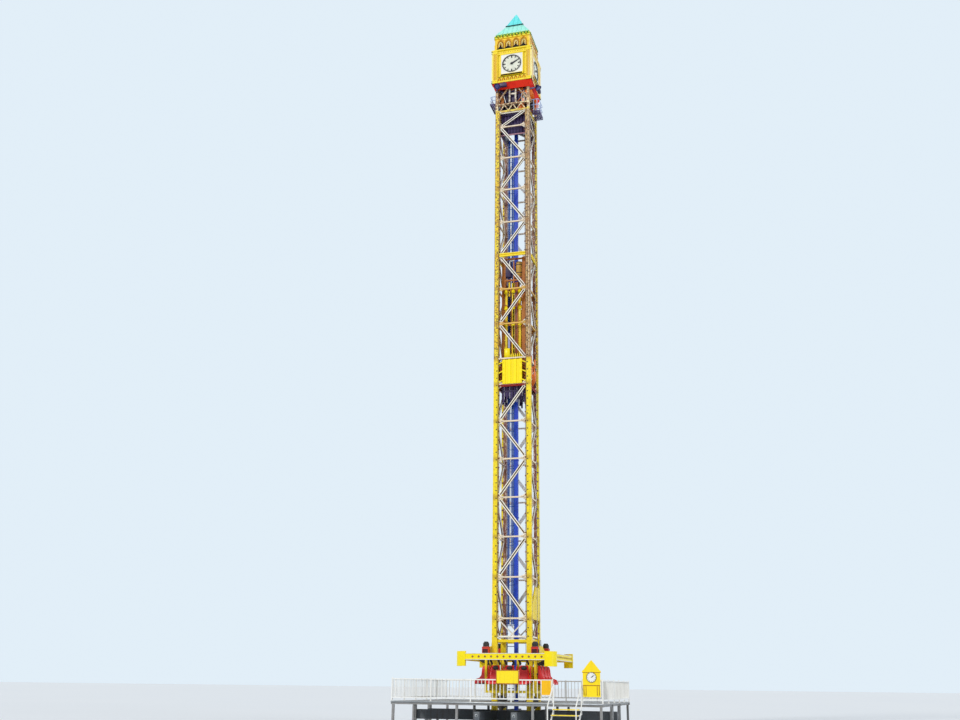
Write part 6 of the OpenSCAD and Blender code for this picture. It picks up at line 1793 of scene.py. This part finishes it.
class TOWER_OT_platform_trim(DressOperator):
    """Edge angles, joint strips, screws and nosings of the platform and the steps"""
    bl_idname = "tower.platform_trim"
    bl_label = "Platform trim"

    def make(self, sizes):
        z = DECK_Z
        edge = blocks([[-DECK_X, z - 0.05, -0.006]], [[DECK_X, z + 0.004, -0.0005]])
        side = blocks([[-DECK_Y, z - 0.05, -0.006]], [[DECK_Y, z + 0.004, -0.0005]])
        strips = merge([on_sides(on_wall(edge, DECK_Y), (0, 180)),
                        on_sides(on_wall(side, DECK_X), (90, 270))])
        piece("deck_edges", strips, "galvanised", "galvanised")
        # Panel joints of the floor, as narrow strips with screws
        x = np.arange(-3.6, 3.7, 1.2)
        low = np.array([[at - 0.02, -DECK_Y + 0.05, z - 0.001] for at in x]
        + [[at - 0.02, 1.06, z - 0.001] for at in x])
        high = np.array([[at + 0.02, -1.06, z + 0.004] for at in x]
        + [[at + 0.02, DECK_Y - 0.05, z + 0.004] for at in x])
        piece("floor_strips", blocks(low, high), "galvanised", "galvanised")
        screws = grid(x, np.arange(-3.45, 3.5, 0.3), np.array([z + 0.003]))
        screws = screws[np.abs(screws[:, 1]) > 1.1]
        piece("floor_screws", placed(lathe([(0.009, 0), (0.009, 0.003), (0.006, 0.005)], 6), screws),
              "rope_steel", "bolt")
        # Yellow nosings on the steps
        low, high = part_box("steps")
        count, run = 5, 0.29
        step_z = z / count * np.arange(1, count)
        step_y = -DECK_Y - (count - 1) * run + run * np.arange(count - 1)
        noses = blocks(rows(low.x + 0.042, step_y - 0.001, step_z - 0.030),
                       rows(high.x - 0.042, step_y + 0.045, step_z + 0.004))
        piece("step_nosings", noses, "sign_yellow", "sign", bevel=0.003, bevel_steps=1)


class TOWER_OT_fence_caps(DressOperator):
    """Post caps and base flanges of the railings"""
    bl_idname = "tower.fence_caps"
    bl_label = "Fence caps"

    def make(self, sizes):
        half = 0.0225
        spots = []
        for node in ("fence_front_left", "fence_front_right", "fence_rear"):
            low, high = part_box(node)
            posts = max(1, round((high.x - low.x) / 1.5))
            x = np.linspace(low.x + half, high.x - half, posts + 1)
            spots.append(rows(x, (low.y + high.y) / 2))
        for node in ("fence_left", "fence_right"):
            low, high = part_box(node)
            posts = max(1, round((high.y - low.y) / 1.5))
            y = np.linspace(low.y + half, high.y - half, posts + 1)
            spots.append(rows((low.x + high.x) / 2, y))
        spots = np.concatenate(spots)
        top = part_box("fence_rear")[1].z
        cap = lathe([(0.020, -0.004), (0.030, 0.0), (0.032, 0.010), (0.024, 0.024), (0.010, 0.032)], 14)
        piece("post_caps", placed(cap, raised(spots, top)), "white_paint", "white", smooth=True)
        foot = blocks([[-0.045, -0.022, 0.0]], [[0.045, 0.022, 0.012]])
        piece("post_feet", placed(foot, raised(spots, DECK_Z)), "white_paint", "white", bevel=0.002,
              bevel_steps=1)


class TOWER_OT_signs(DressOperator):
    """Borders, the small dial and its marks, and screws on the three bare boards"""
    bl_idname = "tower.signs"
    bl_label = "Signs"

    def make(self, sizes):
        low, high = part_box("clock_sign")
        x = (low.x + high.x) / 2
        out = -low.y
        dial_z = low.z + 0.98 * 0.72
        r = 0.66 * 0.27
        rim = sweep(ring(r, 48), 0.010, 8, closed=True)
        face = lathe([(r - 0.006, -0.002), (r - 0.006, 0.003), (r - 0.012, 0.004)], 48)
        mark = blocks([[-0.005, r - 0.045, 0.0]], [[0.005, r - 0.016, 0.007]])
        turns = np.array([turn_by(angle) for angle in pi / 6 * np.arange(12)])
        marks = placed(mark, np.zeros((12, 3)), turns)
        hands = merge([bars([[0, 0, 0]], [[0.085, 0.045, 0]], (0, 0, 1), 0.014, 0.004, 0.010),
                       bars([[0, 0, 0]], [[0.10, 0.085, 0]], (0, 0, 1), 0.010, 0.009, 0.014),
                       lathe([(0.014, 0.0), (0.014, 0.016), (0.008, 0.018)], 16)])
        piece("sign_dial", on_wall(face, out, dial_z, x), "dial_white", "white", smooth=True)
        piece("sign_dial_rim", on_wall(rim, out, dial_z, x), "dark_steel", "black", smooth=True)
        piece("sign_dial_marks", on_wall(merge([marks, hands]), out, dial_z, x), "dark_steel", "black")
        board = out - 0.016
        seam = blocks([[-0.33, 0.40, -0.001], [-0.30, 0.06, -0.001], [-0.22, 0.06, -0.001],
                       [0.20, 0.06, -0.001], [0.28, 0.06, -0.001], [-0.352, 0.868, -0.001]],
                      [[0.33, 0.424, 0.006], [-0.28, 0.39, 0.006], [-0.20, 0.39, 0.006], [0.22, 0.39, 0.006],
                       [0.30, 0.39, 0.006], [0.352, 0.886, 0.006]])
        piece("sign_mouldings", on_wall(seam, board, low.z, x), "frame_ochre", "brown")
        for name, border in (("rule_board", "white"), ("notice_board", "brown")):
            low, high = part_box(name)
            w, h = (high.x - low.x) / 2, (high.z - low.z) / 2
            edge = np.array([[-w, -h, 0], [w, -h, 0], [w, h, 0], [-w, h, 0]])
            edge[:, :2] -= np.sign(edge[:, :2]) * 0.016
            lines = bars(edge, np.roll(edge, -1, 0), (0, 0, 1), 0.03, -0.004, 0.008)
            x_mid, z_mid = (high.x + low.x) / 2, (high.z + low.z) / 2
            piece(f"{name}_border", on_wall(lines, -low.y, z_mid, x_mid), "white_paint", border, bevel=0.003,
                  bevel_steps=1)
            spots = grid(
                np.array([-w + 0.016, w - 0.016]), np.array([-h + 0.016, h - 0.016]), np.array([0.007]))
            piece(f"{name}_screws", on_wall(bolt_heads(spots, 0.009, 0.006), -low.y, z_mid, x_mid),
                  "rope_steel", "bolt")


class TOWER_OT_base_hardware(DressOperator):
    """Threads and nuts on the jacks, end plates and lifting eyes on the base beams"""
    bl_idname = "tower.base_hardware"
    bl_label = "Base hardware"

    def make(self, sizes):
        low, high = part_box("base_frame")
        reach = {0: -low.y, 90: high.x, 180: -low.y, 270: high.x}
        z = np.arange(0.11, 0.235, 0.012)
        profile = rows(np.tile([0.053, 0.058], len(z)), np.repeat(z, 2) + np.tile([0.0, 0.006], len(z)))
        screw = lathe(profile, 20)
        nut = lathe([(0.085, 0.236), (0.090, 0.240), (0.090, 0.266), (0.085, 0.2695)], 6)
        plate = extrude(rounded_outline(0.115, 0.185, 0.01), -0.001, 0.010, axis="z")
        eye_angle = np.linspace(-0.35 * pi, 1.35 * pi, 14)
        eye = sweep(rows(0.045 * np.cos(eye_angle), 0.045 * np.sin(eye_angle) + 0.005, 0.022), 0.014, 8)
        shapes = {"jack_threads": [], "jack_nuts": [], "beam_ends": [], "beam_eyes": []}
        for turn, end in reach.items():
            for x in (-COLUMN_MID, COLUMN_MID):
                shapes["jack_threads"].append(on_sides(placed(screw, [[x, -end + 0.40, 0]]), (turn,)))
                shapes["jack_nuts"].append(on_sides(placed(nut, [[x, -end + 0.40, 0]]), (turn,)))
                shapes["beam_ends"].append(on_sides(on_wall(plate, end - 0.002, 0.46, x), (turn,)))
                shapes["beam_eyes"].append(on_sides(on_wall(eye, end - 0.004, 0.50, x), (turn,)))
        piece("jack_threads", merge(shapes["jack_threads"]), "rope_steel", "sheave", smooth=True)
        piece("jack_nuts", merge(shapes["jack_nuts"]), "galvanised", "galvanised", bevel=0.003)
        piece("beam_ends", merge(shapes["beam_ends"]), "base_steel", "base", bevel=0.004)
        piece("beam_eyes", merge(shapes["beam_eyes"]), "base_steel", "galvanised", smooth=True)


class TOWER_OT_studio(DressOperator):
    """Pale floor, soft lights and the camera at the photograph's place"""
    bl_idname = "tower.studio"
    bl_label = "Studio"

    def make(self, sizes):
        scene = bpy.context.scene
        scene.view_settings.view_transform = "Standard"
        # Floor: one wide pale sheet, just under the ground's level
        reach, level = 900.0, -0.002
        points = np.array([
            [-reach, -reach, level], [reach, -reach, level], [reach, reach, level], [-reach, reach, level]])
        mesh = bpy.data.meshes.new("studio_floor")
        mesh.from_pydata(points.tolist(), [], [[0, 1, 2, 3]])
        floor = bpy.data.objects.new("studio_floor", mesh)
        scene.collection.objects.link(floor)
        material, n, shader = new_material("studio_floor")
        cloud = n.noise(n.place(), 0.05, 2)
        n.fill(shader, {"Base Color": n.mix(cloud, (0.74, 0.78, 0.82), (0.78, 0.81, 0.84)), "Roughness": 0.9})
        mesh.materials.append(material)
        # World: a plain level for the light, and a pale sky for what the camera and glossy surfaces see
        world = bpy.data.worlds.new("studio")
        scene.world = world
        world.use_nodes = True
        w = Nodes(world.node_tree)
        ray = w.add("ShaderNodeLightPath").outputs
        seen = w.most(ray["Is Camera Ray"], w.most(ray["Is Glossy Ray"], ray["Is Transmission Ray"]))
        light = world.node_tree.nodes["Background"]
        w.fill(light, {"Color": (0.92, 0.96, 1.0, 1.0), "Strength": 0.62})
        view = w.add("ShaderNodeBackground", {"Color": (0.76, 0.86, 0.94, 1.0), "Strength": 1.0})
        both = w.add("ShaderNodeMixShader", {0: seen, 1: light.outputs[0], 2: view.outputs[0]})
        w.fill(world.node_tree.nodes["World Output"], {"Surface": both.outputs[0]})
        for name, direction, energy, angle, colour in (
                ("key_light", (-0.42, -0.72, 0.55), 1.45, 12, (1.0, 0.97, 0.91)),
                ("fill_light", (0.85, -0.25, 0.30), 1.15, 40, (0.95, 0.95, 1.0))):
            lamp = bpy.data.lights.new(name, "SUN")
            lamp.energy, lamp.angle, lamp.color = energy, np.radians(angle), colour
            sun = bpy.data.objects.new(name, lamp)
            sun.rotation_euler = Vector(direction).to_track_quat("Z", "Y").to_euler()
            scene.collection.objects.link(sun)
        # Camera: it looks up from the far side of the square, a little to the right of the tower's front
        pitch, roll = np.radians(17.71), np.radians(-0.65)
        heading = np.array([-0.2738, 0.9618]) / np.hypot(0.2738, 0.9618)
        forward = np.array([heading[0] * np.cos(pitch), heading[1] * np.cos(pitch), np.sin(pitch)])
        flat_right = np.array([heading[1], -heading[0], 0])
        flat_up = np.cross(flat_right, forward)
        right = flat_right * np.cos(roll) - flat_up * np.sin(roll)
        up = flat_right * np.sin(roll) + flat_up * np.cos(roll)
        turn = rows(right, up, -forward)
        camera = bpy.data.cameras.new("view")
        camera.lens, camera.sensor_width, camera.clip_end = 38.25, 36.0, 1000.0
        viewer = bpy.data.objects.new("view", camera)
        viewer.matrix_world = Matrix.Translation((10.6, -43.35, 1.6)) @ Matrix(turn.tolist()).to_4x4()
        scene.collection.objects.link(viewer)
        scene.camera = viewer


STEPS = (TOWER_OT_finishes, TOWER_OT_column_lamps, TOWER_OT_gussets, TOWER_OT_flange_bolts,
         TOWER_OT_joint_bay, TOWER_OT_inner_equipment, TOWER_OT_head_machinery, TOWER_OT_top_lining,
         TOWER_OT_floodlight_glass, TOWER_OT_balconies, TOWER_OT_dial_marks, TOWER_OT_house_ornament,
         TOWER_OT_belfry_ornament, TOWER_OT_roof_seams, TOWER_OT_seats, TOWER_OT_restraints,
         TOWER_OT_canopy_trim, TOWER_OT_car_hardware, TOWER_OT_platform_trim, TOWER_OT_fence_caps,
         TOWER_OT_signs, TOWER_OT_base_hardware, TOWER_OT_studio)


class TOWER_PT_dressing(bpy.types.Panel):
    """Lists the steps that dress the tower, with their sizes and colours."""
    bl_label = "Drop tower"
    bl_idname = "TOWER_PT_dressing"
    bl_space_type = "VIEW_3D"
    bl_region_type = "UI"
    bl_category = "Drop Tower"

    def draw(self, context):
        column = self.layout.column(align=True)
        for step in STEPS:
            column.operator(step.bl_idname)
        for group in (context.scene.tower_sizes, context.scene.tower_colours):
            box = self.layout.box()
            for name in type(group).bl_rna.properties.keys():
                if name not in ("rna_type", "name"):
                    box.prop(group, name)


CLASSES = (TowerSizes, TowerColours) + STEPS + (TOWER_PT_dressing,)


def register():
    for cls in CLASSES:
        bpy.utils.register_class(cls)
    bpy.types.Scene.tower_sizes = PointerProperty(type=TowerSizes)
    bpy.types.Scene.tower_colours = PointerProperty(type=TowerColours)


def unregister():
    del bpy.types.Scene.tower_colours
    del bpy.types.Scene.tower_sizes
    for cls in reversed(CLASSES):
        bpy.utils.unregister_class(cls)


def main():
    register()
    for step in STEPS:
        group, name = step.bl_idname.split(".")
        getattr(getattr(bpy.ops, group), name)()
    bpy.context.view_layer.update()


if __name__ == "__main__":
    main()
